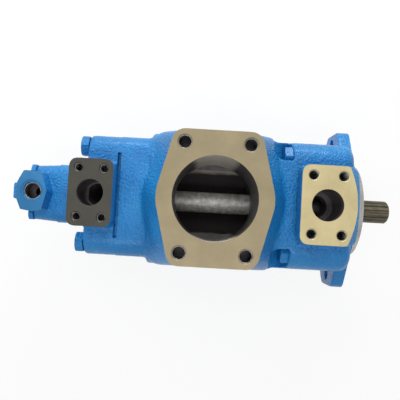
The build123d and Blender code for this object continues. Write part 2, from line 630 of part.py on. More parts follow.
def blind(pack):
    """Span of the blind holes in the outlet plate for screws and pins, from the ring outwards."""
    depth = 10.0
    if pack is FRONT_CARTRIDGE:
        return pack["ring"][1] - 1, pack["ring"][1] + depth
    return pack["ring"][0] - depth, pack["ring"][0] + 1


def hub_seal_start(pack):
    """Where the seal sits on the hub, in the bore of the casting."""
    return -32.5 if pack is FRONT_CARTRIDGE else -332.5


def rotor(pack):
    """Slotted rotor on the shaft's spline."""
    x0, x1 = pack["ring"]
    end_gap = 0.05
    outline = Circle(pack["rotor_r"]) - spline_bore(pack["drive_root_r"], pack["drive_r"], 0.06)
    slot_r = pack["vane_root_r"] - 0.5
    length = pack["rotor_r"] + 2 - slot_r
    for angle in around(pack["vanes"]):
        cut = Pos(slot_r + length / 2, 0) * Rectangle(length, pack["vane"] + 0.1)
        cut += Pos(slot_r, 0) * Circle(2.4)
        outline -= Rot(0, 0, angle) * cut
    return slab(outline, x0 + end_gap, x1 - end_gap)


def vane_tip_r(pack):
    """Vanes stand at the short radius of the cam, where they clear it all the way round."""
    return pack["minor_r"] - 0.15


def vanes(pack):
    """The vanes, each with a notch in its foot for its insert."""
    x0, x1 = pack["ring"]
    end_gap, notch_width, notch_height = 0.12, 11.0, 9.0
    root_r, tip_r = pack["vane_root_r"], vane_tip_r(pack)
    length = x1 - x0 - 2 * end_gap
    blade = Pos((x0 + x1) / 2, (root_r + tip_r) / 2, 0) * Box(length, tip_r - root_r, pack["vane"])
    blade = chamfer(blade.edges().filter_by(Axis.X).group_by(Axis.Y)[-1], 0.8)
    blade -= Pos((x0 + x1) / 2, root_r, 0) * Box(notch_width, 2 * notch_height, pack["vane"] + 1)
    return [Rot(angle, 0, 0) * blade for angle in around(pack["vanes"])]


def vane_inserts(pack):
    """The small blocks in the feet of the vanes, which pressure pushes outwards."""
    x0, x1 = pack["ring"]
    width, height = 10.8, 8.0
    block = Pos((x0 + x1) / 2, pack["vane_root_r"] + height / 2, 0) * Box(width, height, pack["vane"] - 0.1)
    return [Rot(angle, 0, 0) * block for angle in around(pack["vanes"])]


def cartridge_screws(pack):
    """Two socket head screws that hold a cartridge together."""
    if pack is FRONT_CARTRIDGE:
        seat, way, end = pack["inlet"][0] + PACK_HEAD, -1, pack["ring"][1] + 9
    else:
        seat, way, end = pack["inlet"][1] - PACK_HEAD, 1, pack["ring"][0] - 9
    screws = []
    for side in (-1, 1):
        y = side * pack["screw_r"]
        top = seat + way * (PACK_HEAD - 0.3)
        screw = rod(PACK_HEAD_R, min(seat, top), max(seat, top), y)
        screw += rod(PACK_SCREW_R, min(seat, end), max(seat, end), y)
        socket = Pos(y, 0) * RegularPolygon(2.5, 6, major_radius=False)
        screw -= slab(socket, min(top, top - way * 3.5), max(top, top - way * 3.5))
        screws.append(screw)
    return screws


def locating_pins(pack):
    """Two dowels that line up ring and plates."""
    if pack is FRONT_CARTRIDGE:
        x0, x1 = pack["inlet"][0] + 1, pack["ring"][1] + 9
    else:
        x0, x1 = pack["ring"][0] - 9, pack["inlet"][1] - 1
    return [rod(PACK_PIN_R, x0, x1, 0, side * pack["screw_r"]) for side in (-1, 1)]


def plate_seal(pack):
    """Ring around the outlet plate."""
    middle = sum(pack["outlet"]) / 2
    return ring(pack["outer_r"] + 0.05, pack["outer_r"] - 2.9, middle - 1.45, middle + 1.45)


def hub_seal(pack):
    start = hub_seal_start(pack)
    return ring(pack["hub_r"] + 0.05, pack["hub_r"] - 2.4, start + 0.05, start + 2.45)


def rear_shaft_bush():
    """Plain bearing in the hub of the rear outlet plate."""
    return ring(15.0, REAR_JOURNAL_R + RUNNING_GAP, -333.5, -306.0)


# ---------------------------------------------------------------- auxiliary pump
def aux_shaft():
    """Shaft of the auxiliary pump: splined into the main shaft and into its own rotor."""
    shaft = slab(spline_drive(AUX_DRIVE_ROOT_R, AUX_DRIVE_R), -332.0, -316.0)
    shaft += rod(AUX_SHAFT_R, AUX_RING[1], -335.0)
    shaft += rod(AUX_DRIVE_ROOT_R, -335.0, -332.0)
    shaft += slab(spline_drive(7.6, AUX_SHAFT_R), *AUX_RING)
    return shaft + rod(7.5, -392.0, AUX_RING[0])


def aux_rotor():
    x0, x1 = AUX_RING
    outline = Circle(AUX_ROTOR_R) - spline_bore(7.6, AUX_SHAFT_R, 0.06)
    slot_r, width = 12.0, 1.9
    length = AUX_ROTOR_R + 2 - slot_r
    for angle in around(AUX_VANES):
        outline -= Rot(0, 0, angle) * Pos(slot_r + length / 2, 0) * Rectangle(length, width)
    return slab(outline, x0 + 0.05, x1 - 0.05)


def aux_vanes():
    x0, x1 = AUX_RING
    root_r, tip_r = 12.6, AUX_MINOR_R - 0.15
    blade = Pos((x0 + x1) / 2, (root_r + tip_r) / 2, 0) * Box(x1 - x0 - 0.3, tip_r - root_r, 1.8)
    return [Rot(angle, 0, 0) * blade for angle in around(AUX_VANES)]


def aux_pin_holes(body, r):
    for side in (-1, 1):
        body -= rod(r, -400, -350, side * 26.3, 0)
    return body


def aux_cam_ring():
    outline = Circle(AUX_RING_R) - Rot(0, 0, 45) * Ellipse(AUX_MAJOR_R, AUX_MINOR_R)
    return aux_pin_holes(slab(outline, *AUX_RING), 2.1)


def aux_wear_plate():
    plate = slab(Circle(AUX_RING_R) - Circle(AUX_SHAFT_R + 0.6), AUX_RING[1], -357.0)
    return aux_pin_holes(plate, 2.1)


def aux_pressure_plate():
    """Plate behind the auxiliary cam ring, with its two pressure windows."""
    outline = Circle(AUX_RING_R) - Circle(7.5 + RUNNING_GAP)
    for turn in (135, 315):
        outline -= SlotArc(CenterArc((0, 0), 20.3, turn - 22, 44), 4.0)
    plate = slab(outline, AUX_PLATE_X0, AUX_RING[0])
    for side in (-1, 1):
        plate -= rod(2.1, -390, -380, side * 26.3, 0)
    return plate


def aux_plate_spring():
    """Spring washer that holds the pressure plate against the ring."""
    profile = Polygon((AUX_PLATE_X0, 23.0), (AUX_PLATE_X0 - 1.0, 23.0), (AUX_PLATE_X0 - 2.9, 15.0),
                      (AUX_PLATE_X0 - 1.9, 15.0), align=None)
    return revolve(Plane.XY * profile, axis=Axis.X)


def aux_pins():
    return [rod(2.0, -389.0, -358.0, side * 26.3, 0) for side in (-1, 1)]


def aux_shaft_bush():
    return ring(12.0, AUX_SHAFT_R + RUNNING_GAP, -357.0, -346.0)


def aux_shaft_seal():
    """Seal between the second cartridge and the auxiliary pump."""
    return ring(AUX_SEAL_R, AUX_SHAFT_R + RUNNING_GAP, -341.5, -335.5)


def aux_bolts():
    """Screws through cover and body into the rear cover."""
    return [headed_bolt(AUX_END_X, y, z, AUX_BOLT_AF, AUX_BOLT_HEAD, AUX_BOLT_SHANK_R, AUX_BOLT_LENGTH)
            for y, z in corners(AUX_BOLT_OFFSET)]


def front_joint_bolts():
    return [headed_bolt(FRONT_BOLT_SEAT_X, y, z, BOLT_HEAD_AF, BOLT_HEAD_HEIGHT, BOLT_SHANK_R,
                        FRONT_BOLT_LENGTH) for y, z in corners(FRONT_BOLT_OFFSET)]


def rear_joint_bolts():
    return [headed_bolt(REAR_FACE_X, y, z, BOLT_HEAD_AF, BOLT_HEAD_HEIGHT, BOLT_SHANK_R,
                        REAR_BOLT_LENGTH) for y, z in corners(REAR_BOLT_OFFSET)]


PARTS = {
    "front_housing": front_housing,
    "inlet_housing": inlet_housing,
    "rear_cover": rear_cover,
    "aux_body": aux_body,
    "aux_cover": aux_cover,
    "drive_shaft": drive_shaft,
    "bearing_inner_ring": bearing_inner_ring,
    "bearing_outer_ring": bearing_outer_ring,
    "bearing_balls": bearing_balls,
    "bearing_cage": bearing_cage,
    "bearing_retaining_ring": bearing_retaining_ring,
    "shaft_snap_ring": shaft_snap_ring,
    "shaft_seal_case": shaft_seal_case,
    "shaft_seal_lip": shaft_seal_lip,
    "shaft_seal_spring": shaft_seal_spring,
    "front_joint_seal": lambda: ring(72.5, 69.7, FRONT_JOINT_X - 2.9, FRONT_JOINT_X),
    "rear_joint_seal": lambda: ring(60.5, 58.1, REAR_JOINT_X - 2.5, REAR_JOINT_X),
    "front_joint_bolts": front_joint_bolts,
    "rear_joint_bolts": rear_joint_bolts,
    "rear_shaft_bush": rear_shaft_bush,
    "aux_shaft": aux_shaft,
    "aux_rotor": aux_rotor,
    "aux_vanes": aux_vanes,
    "aux_cam_ring": aux_cam_ring,
    "aux_wear_plate": aux_wear_plate,
    "aux_pressure_plate": aux_pressure_plate,
    "aux_plate_spring": aux_plate_spring,
    "aux_pins": aux_pins,
    "aux_shaft_bush": aux_shaft_bush,
    "aux_shaft_seal": aux_shaft_seal,
    "aux_face_seal": lambda: ring(26.0, 23.6, REAR_FACE_X - 1.9, REAR_FACE_X),
    "aux_joint_seal": lambda: ring(34.0, 31.6, AUX_JOINT_X, AUX_JOINT_X + 1.9),
    "aux_bolts": aux_bolts,
}

for label, pack, plate_bore_r in (("front", FRONT_CARTRIDGE, 18.0), ("rear", REAR_CARTRIDGE, 15.0)):
    PARTS[f"{label}_cam_ring"] = lambda pack=pack: cam_ring(pack)
    PARTS[f"{label}_rotor"] = lambda pack=pack: rotor(pack)
    PARTS[f"{label}_vanes"] = lambda pack=pack: vanes(pack)
    PARTS[f"{label}_vane_inserts"] = lambda pack=pack: vane_inserts(pack)
    PARTS[f"{label}_inlet_plate"] = lambda pack=pack: inlet_plate(pack, 15.5)
    PARTS[f"{label}_outlet_plate"] = lambda pack=pack, bore=plate_bore_r: outlet_plate(pack, bore)
    PARTS[f"{label}_plate_seal"] = lambda pack=pack: plate_seal(pack)
    PARTS[f"{label}_hub_seal"] = lambda pack=pack: hub_seal(pack)
    PARTS[f"{label}_cartridge_screws"] = lambda pack=pack: cartridge_screws(pack)
    PARTS[f"{label}_locating_pins"] = lambda pack=pack: locating_pins(pack)

if __name__ == "__main__":
    os.makedirs("parts", exist_ok=True)
    for name, make in PARTS.items():
        save(name, make())
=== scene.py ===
# %% [markdown]
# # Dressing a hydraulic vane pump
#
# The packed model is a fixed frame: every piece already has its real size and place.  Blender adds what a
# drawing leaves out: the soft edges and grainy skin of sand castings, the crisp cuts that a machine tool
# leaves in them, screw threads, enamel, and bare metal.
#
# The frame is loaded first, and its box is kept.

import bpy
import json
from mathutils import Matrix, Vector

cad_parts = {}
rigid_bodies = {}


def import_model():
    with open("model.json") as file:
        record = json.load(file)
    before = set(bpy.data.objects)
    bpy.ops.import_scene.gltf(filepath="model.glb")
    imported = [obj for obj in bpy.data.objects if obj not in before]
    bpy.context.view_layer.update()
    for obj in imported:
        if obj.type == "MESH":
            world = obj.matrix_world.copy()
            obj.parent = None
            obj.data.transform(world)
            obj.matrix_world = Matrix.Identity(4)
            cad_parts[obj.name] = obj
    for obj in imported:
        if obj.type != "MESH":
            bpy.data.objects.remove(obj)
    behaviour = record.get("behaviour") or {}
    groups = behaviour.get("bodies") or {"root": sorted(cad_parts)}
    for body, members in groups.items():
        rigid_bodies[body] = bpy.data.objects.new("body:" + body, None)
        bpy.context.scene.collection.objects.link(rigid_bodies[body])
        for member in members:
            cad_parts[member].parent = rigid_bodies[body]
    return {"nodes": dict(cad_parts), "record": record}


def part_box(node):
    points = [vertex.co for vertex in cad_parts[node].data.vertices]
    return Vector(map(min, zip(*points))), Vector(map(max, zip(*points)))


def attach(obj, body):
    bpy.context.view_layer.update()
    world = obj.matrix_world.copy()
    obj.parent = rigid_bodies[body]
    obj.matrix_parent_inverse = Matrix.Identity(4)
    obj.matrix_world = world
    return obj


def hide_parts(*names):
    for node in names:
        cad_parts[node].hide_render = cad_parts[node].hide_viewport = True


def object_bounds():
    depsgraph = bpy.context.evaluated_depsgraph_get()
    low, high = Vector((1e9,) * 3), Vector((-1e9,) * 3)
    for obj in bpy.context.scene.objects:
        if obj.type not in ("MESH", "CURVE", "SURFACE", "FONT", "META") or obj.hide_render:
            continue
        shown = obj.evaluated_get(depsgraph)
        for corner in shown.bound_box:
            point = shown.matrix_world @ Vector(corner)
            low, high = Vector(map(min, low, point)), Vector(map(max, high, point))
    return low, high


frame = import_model()
cad_box = [list(corner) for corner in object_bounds()]

import json
import math

import bmesh
import bpy
from mathutils import Matrix, Vector

MM = 0.001

# %% [markdown]
# ## Reading places from the record
#
# The record names every interface of the pump, with its place and its size.  Ports and bolt holes are made
# from those values, so nothing has to be measured twice.  All lengths in this file are metres.

# %% Mounts by name
mounts = {mount["name"]: mount for mount in frame["record"]["mounts"]}


def place_of(name):
    return Vector(mounts[name]["pos_m"])


def size_of(name, key):
    return mounts[name]["dims"][key] * MM


for name in ("inlet_port", "outlet_1_port", "outlet_2_port", "aux_port"):
    print(name, [round(v, 4) for v in place_of(name)], "radius", size_of(name, "r_mm"))

# %% [markdown]
# ## Working as by hand, from code
#
# An operator acts on everything that is selected, and the frame arrives selected.  So each step starts by
# letting go of everything and picking one object.  Parts of a mesh are picked by place: a small test says
# which corners, edges or faces to take, and the next operator works on those.

# %% Picking one object


def pick(thing):
    if bpy.context.mode != "OBJECT":
        bpy.ops.object.mode_set(mode="OBJECT")
    bpy.ops.object.select_all(action="DESELECT")
    thing.select_set(True)
    bpy.context.view_layer.objects.active = thing
    return thing


def settle(thing, name):
    """Puts the object at the origin, unturned, with its place in its mesh."""
    pick(thing)
    bpy.ops.object.transform_apply(location=True, rotation=True, scale=True)
    thing.name = name
    thing.data.name = name
    return thing


print("picked", pick(frame["nodes"]["drive_shaft"]).name, "out of", len(bpy.data.objects), "objects")

# %% Picking parts of a mesh
X, Y, Z = 0, 1, 2
NEAR = 1e-5                   # two places closer than this are the same


def edit(thing, kind="VERT"):
    """Enters edit mode with nothing selected."""
    pick(thing)
    bpy.ops.object.mode_set(mode="EDIT")
    bpy.ops.mesh.select_mode(type=kind)
    bpy.ops.mesh.select_all(action="DESELECT")


def take(thing, kind, test):
    """In edit mode, selects the vertices, edges or faces that pass the test."""
    mesh = bmesh.from_edit_mesh(thing.data)
    group = {"VERT": mesh.verts, "EDGE": mesh.edges, "FACE": mesh.faces}[kind]
    for item in group:
        item.select_set(bool(test(item)))
    mesh.select_flush_mode()
    bmesh.update_edit_mesh(thing.data)


def done():
    bpy.ops.object.mode_set(mode="OBJECT")


def bisect(point, normal):
    """In edit mode, adds a ring of edges where a plane meets the mesh."""
    bpy.ops.mesh.select_all(action="SELECT")
    bpy.ops.mesh.bisect(plane_co=point, plane_no=normal)


def runs_along(edge, axis):
    span = edge.verts[0].co - edge.verts[1].co
    return abs(abs(span[axis]) - span.length) < 1e-6 and span.length > 1e-6


def lies_at(item, axis, value):
    corners = item.verts if hasattr(item, "verts") else [item]
    return all(abs(corner.co[axis] - value) < NEAR for corner in corners)


print("parts of a mesh are picked along the axes", X, Y, Z)

# %% [markdown]
# Three operators do most of the shaping once something is picked: a bevel rounds edges, and a move or a scale
# of some corners slopes or flares a side.  Each is kept with its picking in one helper.

# %% Shaping what was picked


def bevel(thing, test, width, segments):
    edit(thing, "EDGE")
    take(thing, "EDGE", test)
    bpy.ops.mesh.bevel(offset=width, segments=segments, affect="EDGES")
    done()


def shift(thing, test, value):
    edit(thing)
    take(thing, "VERT", test)
    bpy.ops.transform.translate(value=value)
    done()


def spread(thing, test, factors, centre):
    edit(thing)
    take(thing, "VERT", test)
    bpy.ops.transform.resize(value=factors, center_override=centre)
    done()


print("shaped by", [tool.__name__ for tool in (bevel, shift, spread)])

# %% [markdown]
# ## The blanks
#
# Castings and cutters both start as primitives.  A block is a cube with the edges along one axis bevelled
# round, and a bar is a cylinder laid along an axis.  They are starts only: each one is shaped further or cut
# from another before it is a piece of the pump.

# %% Blocks and bars
QUARTER_TURN = math.pi / 2


def block(low, high, corner=0.0, along=X, segments=8, name="block"):
    low, high = Vector(low), Vector(high)
    bpy.ops.mesh.primitive_cube_add(size=1, location=(low + high) / 2, scale=high - low)
    made = settle(bpy.context.object, name)
    if corner > 0:
        bevel(made, lambda edge: runs_along(edge, along), corner, segments)
    return made


def beam(start, end, half, corner=0.0):
    """A square block round the shaft axis."""
    return block((start, -half, -half), (end, half, half), corner)


def bar(radius, start, end, along=X, centre=(0, 0), sides=64, name="bar"):
    """A round bar from start to end; centre is its place on the other two axes, in order."""
    middle = (start + end) / 2
    places = {X: (middle, *centre), Y: (centre[0], middle, centre[1]), Z: (*centre, middle)}
    turns = {X: (0, QUARTER_TURN, 0), Y: (QUARTER_TURN, 0, 0), Z: (0, 0, 0)}
    bpy.ops.mesh.primitive_cylinder_add(vertices=sides, radius=radius, depth=end - start,
                                        location=places[along], rotation=turns[along])
    return settle(bpy.context.object, name)


print("blanks are made by", [tool.__name__ for tool in (block, beam, bar)])

# %% [markdown]
# Blanks are joined and cut by modifiers, each applied at once, so that the next step sees a plain mesh.  The
# manifold solver is the quick one, and closed blanks are all that it asks for.

# %% Cutting and joining


def modify(thing, kind, **settings):
    """Adds a modifier and applies it."""
    pick(thing)
    modifier = thing.modifiers.new(kind, kind)
    for key, value in settings.items():
        setattr(modifier, key, value)
    bpy.ops.object.modifier_apply(modifier=modifier.name)
    return thing


def combine(thing, others, how):
    """Takes each of the others away from the piece, or adds it, and throws it away."""
    for other in others:
        modify(thing, "BOOLEAN", operation=how, object=other, solver="MANIFOLD")
        bpy.data.objects.remove(other)
    return thing


def cut(thing, *cutters):
    return combine(thing, cutters, "DIFFERENCE")


def fuse(thing, *others):
    return combine(thing, others, "UNION")


def gather(things, name):
    """Joins separate solids that don't touch into one object."""
    pick(things[0])
    for thing in things:
        thing.select_set(True)
    bpy.ops.object.join()
    return settle(bpy.context.object, name)


print("shapes are worked by", [tool.__name__ for tool in (modify, cut, fuse, gather)])

# %% [markdown]
# ## From pattern to casting
#
# A real casting is poured in sand, which rounds every edge and prints its grain, and is machined afterwards,
# which leaves flat faces with crisp rims.  The same order is used here.  The pattern's blocks are melted into
# one skin by a voxel remesh, a smoothing pass rounds its edges and fills its corners, and a displacement
# prints the sand.  The cuts come last, so only they are sharp.

# %% Sand and skin
SAND_GRAIN = 5.5 * MM
SAND_DEPTH = 0.35 * MM


def sand_texture(name, grain):
    texture = bpy.data.textures.new(name, "CLOUDS")
    texture.noise_scale = grain
    texture.noise_depth = 1
    texture.noise_basis = "BLENDER_ORIGINAL"
    return texture


sand = sand_texture("moulding_sand", SAND_GRAIN)
print("sand of", round(sand.noise_scale / MM, 1), "mm grain,", round(SAND_DEPTH / MM, 2), "mm deep")

# %% Pouring


def pour(parts, name, voxel, soften=10, depth=SAND_DEPTH):
    """Melts overlapping blocks into one cast skin."""
    skin = gather(parts, name)
    modify(skin, "REMESH", mode="VOXEL", voxel_size=voxel, use_smooth_shade=True)
    if soften:
        modify(skin, "SMOOTH", factor=0.5, iterations=soften)
    if depth:
        modify(skin, "DISPLACE", texture=sand, texture_coords="LOCAL", strength=depth, mid_level=0.5)
    print(name, "skin", len(skin.data.polygons), "faces")
    return skin


# %% [markdown]
# ## Drilling tools
#
# A tapped hole has a chamfer at its mouth, so its cutter is a bar whose top ring is spread.  The pattern of
# four holes around a port comes straight from the record.

# %% Tapped holes
THREAD_GROWTH = 1.14          # a thread's outer radius, next to its core radius
MOUTH = 1.2 * MM
OVERCUT = 3 * MM              # how far a cutter stands out of the metal


def tapping(radius, x, y, top, depth, sides=40):
    """Cutter for one tapped hole: wide enough for its thread, and flared at the mouth."""
    wall = radius * THREAD_GROWTH
    tool = bar(wall, top - depth, top + OVERCUT, along=Z, centre=(x, y), sides=sides)
    edit(tool)
    for height in (top - MOUTH, top):
        bisect((x, y, height), (0, 0, 1))
    done()
    grow = (wall + MOUTH) / wall
    spread(tool, lambda v: v.co.z > top - NEAR, (grow, grow, 1), (x, y, top))
    return tool


def bolt_places(pattern):
    centre = place_of(pattern)
    dx, dy = size_of(pattern, "spacing_x_mm") / 2, size_of(pattern, "spacing_y_mm") / 2
    return [(centre.x + sx * dx, centre.y + sy * dy, centre.z) for sx in (-1, 1) for sy in (-1, 1)]


def tap_pattern(pattern, depth):
    tools = [tapping(size_of(pattern, "hole_r_mm"), x, y, z, depth) for x, y, z in bolt_places(pattern)]
    return gather(tools, pattern + "_taps")


def mirror_corners(offset):
    """The places of four bolts round the shaft, on Y and Z."""
    return [(sy * offset, sz * offset) for sy in (-1, 1) for sz in (-1, 1)]


print("inlet bolts at", [tuple(round(v, 4) for v in place) for place in bolt_places("inlet_bolts")])

# %% [markdown]
# ## Inlet housing
#
# The middle casting is a square body with a broad band round it, and a six-sided boss that flares out from
# the large inlet face down to the body.  The boss starts as a cube.  A cut across its middle gives it a
# waist, which is pulled wide, and its lower ring is pulled out for the flare.  A little extra is left on
# every face that is machined later.

# %% The flared boss
inlet = place_of("inlet_bolts")
inlet_low, inlet_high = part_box("inlet_housing")
STOCK = 6 * MM                # metal left on for machining
BOSS_END, BOSS_WAIST, BOSS_HALF_Y = 51 * MM, 71.5 * MM, 80.5 * MM
FOOT_END, FOOT_WAIST, FOOT_HALF_Y = 77 * MM, 95 * MM, 84.5 * MM
FOOT_Z, LAND = 74 * MM, 9 * MM      # height of the foot, and of the straight band under the face
BOSS_ROOT_Z = 40 * MM         # the boss reaches down into the body
BOSS_CORNER, WAIST_CORNER = 11 * MM, 12 * MM


def flared_boss():
    boss = block((inlet.x - BOSS_END, -BOSS_HALF_Y, BOSS_ROOT_Z), (inlet.x + BOSS_END, BOSS_HALF_Y, inlet.z + STOCK),
                 name="inlet_boss")
    edit(boss)
    bisect((inlet.x, 0, 0), (0, 1, 0))
    bisect((0, 0, FOOT_Z), (0, 0, 1))
    bisect((0, 0, inlet.z - LAND), (0, 0, 1))
    done()
    centre = (inlet.x, 0, 0)
    spread(boss, lambda v: abs(v.co.y) < NEAR, (BOSS_WAIST / BOSS_END, 1, 1), centre)
    spread(boss, lambda v: v.co.z < FOOT_Z + NEAR and abs(v.co.y) < NEAR, (FOOT_WAIST / BOSS_WAIST, 1, 1), centre)
    spread(boss, lambda v: v.co.z < FOOT_Z + NEAR and abs(v.co.y) > NEAR,
           (FOOT_END / BOSS_END, FOOT_HALF_Y / BOSS_HALF_Y, 1), centre)
    bevel(boss, lambda e: abs(e.verts[0].co.z - e.verts[1].co.z) > MM
          and min(abs(e.verts[0].co.y), abs(e.verts[1].co.y)) > MM, BOSS_CORNER, 6)
    bevel(boss, lambda e: abs(e.verts[0].co.z - e.verts[1].co.z) > MM
          and max(abs(e.verts[0].co.y), abs(e.verts[1].co.y)) < 0.1 * MM, WAIST_CORNER, 5)
    return boss


print("inlet face at", round(inlet.z, 4))

# %% [markdown]
# Two kinds of cutter are used on the body.  A pocket leaves room for a joint bolt's head: it is a bar whose
# outer side is drawn out past the skin, and its far end is lifted, so that its floor runs up to the skin.  The
# slots show where the two castings meet, and are wider at the mouth than below.

# %% Pockets and slots
FRONT_JOINT, REAR_JOINT = inlet_high.x, inlet_low.x
POCKET_R, POCKET_REACH, POCKET_END_ROUND, POCKET_LIFT = 18 * MM, 34 * MM, 6 * MM, 26 * MM
SLOT_FLOOR, SLOT_TOP, SLOT_HALF_LONG, SLOT_FLARE = 69 * MM, 90 * MM, 54 * MM, 2.5 * MM
SLOT_HALF = 1.5 * MM


def pocket(y, z, x0, x1):
    """The scoop over a front joint bolt's head: its floor slopes up to the casting's skin, and its end is round."""
    tool = bar(POCKET_R, x0, x1, centre=(y, z), sides=48)
    outward = Vector((0, y, z)).normalized()
    shift(tool, lambda v: (v.co - Vector((v.co.x, y, z))).dot(outward) > 0.1 * MM, outward * POCKET_REACH)
    shift(tool, lambda v: lies_at(v, X, x0), outward * POCKET_LIFT)
    bevel(tool, lambda e: lies_at(e, X, x0), POCKET_END_ROUND, 6)
    return tool


def joint_slots(x0, x1):
    """Cutter for the slots at the rear joint, wider at the mouth, on the sides that have one."""
    slots = [block((x0, -SLOT_HALF_LONG, SLOT_FLOOR), (x1, SLOT_HALF_LONG, SLOT_TOP)),
             block((x0, SLOT_FLOOR, -SLOT_HALF_LONG), (x1, SLOT_TOP, SLOT_HALF_LONG)),
             block((x0, -SLOT_TOP, -SLOT_HALF_LONG), (x1, -SLOT_FLOOR, SLOT_HALF_LONG))]
    tool = gather(slots, "joint_slots")
    for end, side in ((x0, -1), (x1, 1)):
        shift(tool, lambda v: lies_at(v, X, end) and max(abs(v.co.y), v.co.z) > SLOT_TOP - MM,
              (side * SLOT_FLARE, 0, 0))
    return tool


print("the castings meet at", round(FRONT_JOINT, 4), "and", round(REAR_JOINT, 4))

# %% [markdown]
# The body's blocks are added to the boss and melted into one skin without rounding.  The pockets are scooped
# out of that, and then it is poured again, which rounds the pockets' edges with the rest.  The bores follow
# the cartridges that sit in them, read from the frame.

# %% The inlet housing's sizes
FRONT_HALF, REAR_HALF = 82 * MM, 77.5 * MM
FRONT_CORNER, BAND_CORNER, REAR_CORNER = 26 * MM, 32 * MM, 22 * MM
BAND_START, BAND_END, BAND_HALF = -264 * MM, -106 * MM, 85 * MM
FRONT_BODY_START, REAR_BODY_END = -112 * MM, -240 * MM
FRONT_BOLTS, REAR_BOLTS = 62 * MM, 61.5 * MM
POCKET_START, HEAD_SEAT = -110 * MM, -84 * MM
TAP_R, CLEARANCE_R = 7 * MM, 8.75 * MM      # a joint bolt's own hole, tapped or plain
FRONT_CARTRIDGE_R, REAR_CARTRIDGE_R, CHAMBER_R = 66.1 * MM, 56.1 * MM, 50 * MM
CHAMBER_FLOOR, REAR_TAP_END = 25 * MM, -272 * MM
OVERLAP = MM                  # how far one bore runs into the next
FAR = 0.2                     # well outside the pump, to every side
MILL = 0.05                   # the most stock that a milling cutter takes off
print("front bolts", len(mirror_corners(FRONT_BOLTS)), "rear bolts", len(mirror_corners(REAR_BOLTS)))

# %% Pour and machine the inlet housing


def mill(axis, face, side, back=2 * FAR):
    """A cutter as wide as the pump, which leaves a flat face and clears all that stands out on one side of it."""
    low, high = [-back, -FAR, -FAR], [FAR / 2, FAR, FAR]
    low[axis], high[axis] = sorted((face, face + side * MILL))
    return block(low, high)


def inlet_housing():
    body = [
        beam(FRONT_BODY_START, FRONT_JOINT + STOCK, FRONT_HALF, FRONT_CORNER),
        block((BAND_START, -BAND_HALF, -FRONT_HALF), (BAND_END, BAND_HALF, FRONT_HALF), BAND_CORNER),
        beam(REAR_JOINT - STOCK, REAR_BODY_END, REAR_HALF, REAR_CORNER),
        flared_boss(),
    ]
    skin = pour(body, "inlet_casting", voxel=2.0 * MM, soften=0, depth=0)
    for y, z in mirror_corners(FRONT_BOLTS):
        cut(skin, pocket(y, z, POCKET_START, HEAD_SEAT))
    skin = pour([skin], "inlet_casting", voxel=1.7 * MM)
    # faces
    cut(skin, mill(Z, inlet.z, 1), mill(X, FRONT_JOINT, 1), mill(X, REAR_JOINT, -1))
    # the port, the chamber, the seats of the two cartridges and the tapped holes
    front_plate, rear_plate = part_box("front_inlet_plate"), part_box("rear_inlet_plate")
    cut(skin,
        bar(size_of("inlet_port", "r_mm"), CHAMBER_FLOOR, inlet.z + OVERCUT, along=Z, centre=(inlet.x, 0), sides=128),
        bar(CHAMBER_R, rear_plate[1].x - OVERLAP, front_plate[0].x + OVERLAP, sides=96),
        bar(FRONT_CARTRIDGE_R, front_plate[0].x, FRONT_JOINT + OVERCUT, sides=96),
        bar(REAR_CARTRIDGE_R, REAR_JOINT - OVERCUT, rear_plate[1].x, sides=96),
        tap_pattern("inlet_bolts", depth=32 * MM))
    holes = [bar(CLEARANCE_R, HEAD_SEAT - OVERCUT, FRONT_JOINT + OVERCUT, centre=place)
             for place in mirror_corners(FRONT_BOLTS)]
    holes += [bar(TAP_R, REAR_JOINT - OVERCUT, REAR_TAP_END, centre=place) for place in mirror_corners(REAR_BOLTS)]
    cut(skin, gather(holes, "bolt_holes"), joint_slots(REAR_JOINT - OVERLAP, REAR_JOINT + SLOT_HALF))
    return skin


inlet_casting = inlet_housing()
print("inlet casting", len(inlet_casting.data.polygons), "faces")

# %% [markdown]
# ## Front housing
#
# The casting at the shaft end carries the mounting flange.  The flange's web starts as a block whose ends
# are drawn in, so that straight sides run from the ears to the round middle.  The front of the outlet pad is
# turned in a lathe with the rest, so a cone round the shaft axis trims it.

# %% The flange
EAR_Y, EAR_HALF, EAR_CORNER = 106.5 * MM, 25 * MM, 8 * MM
FLANGE_BACK, FLANGE_R = -16 * MM, 77.5 * MM


def flange():
    disc = bar(FLANGE_R, FLANGE_BACK, STOCK, sides=96)
    # straight sides from the ear's corner, just touching the disc
    reach = math.hypot(EAR_HALF, EAR_Y)
    touch = math.atan2(EAR_HALF, EAR_Y) + math.acos(FLANGE_R / reach)
    touch_y, touch_z = FLANGE_R * math.cos(touch), FLANGE_R * math.sin(touch)
    web = block((FLANGE_BACK, -EAR_Y, -touch_z), (STOCK, EAR_Y, touch_z))
    edit(web)
    for y in (-touch_y, touch_y):
        bisect((0, y, 0), (0, 1, 0))
    done()
    spread(web, lambda v: abs(abs(v.co.y) - EAR_Y) < NEAR, (1, 1, EAR_HALF / touch_z), (0, 0, 0))
    bevel(web, lambda e: runs_along(e, X) and (lies_at(e, Y, EAR_Y) or lies_at(e, Y, -EAR_Y)), EAR_CORNER, 6)
    return [disc, web]


print("flange", round(2 * EAR_Y, 4), "across the ears,", round(2 * FLANGE_R, 4), "across the middle")

# %% [markdown]
# An outlet's pad is a block that stands up out of the casting, with rounded upright corners.  The cone that
# trims it is the inside of a thick ring, because a cutter takes away what it fills.

# %% Outlet pad and cone
outlet_1 = place_of("outlet_1_bolts")
PAD_CORNER = 9.5 * MM


def pad(low_x, high_x, half_y, floor, top):
    return block((low_x, -half_y, floor), (high_x, half_y, top + STOCK), PAD_CORNER, along=Z, segments=6)


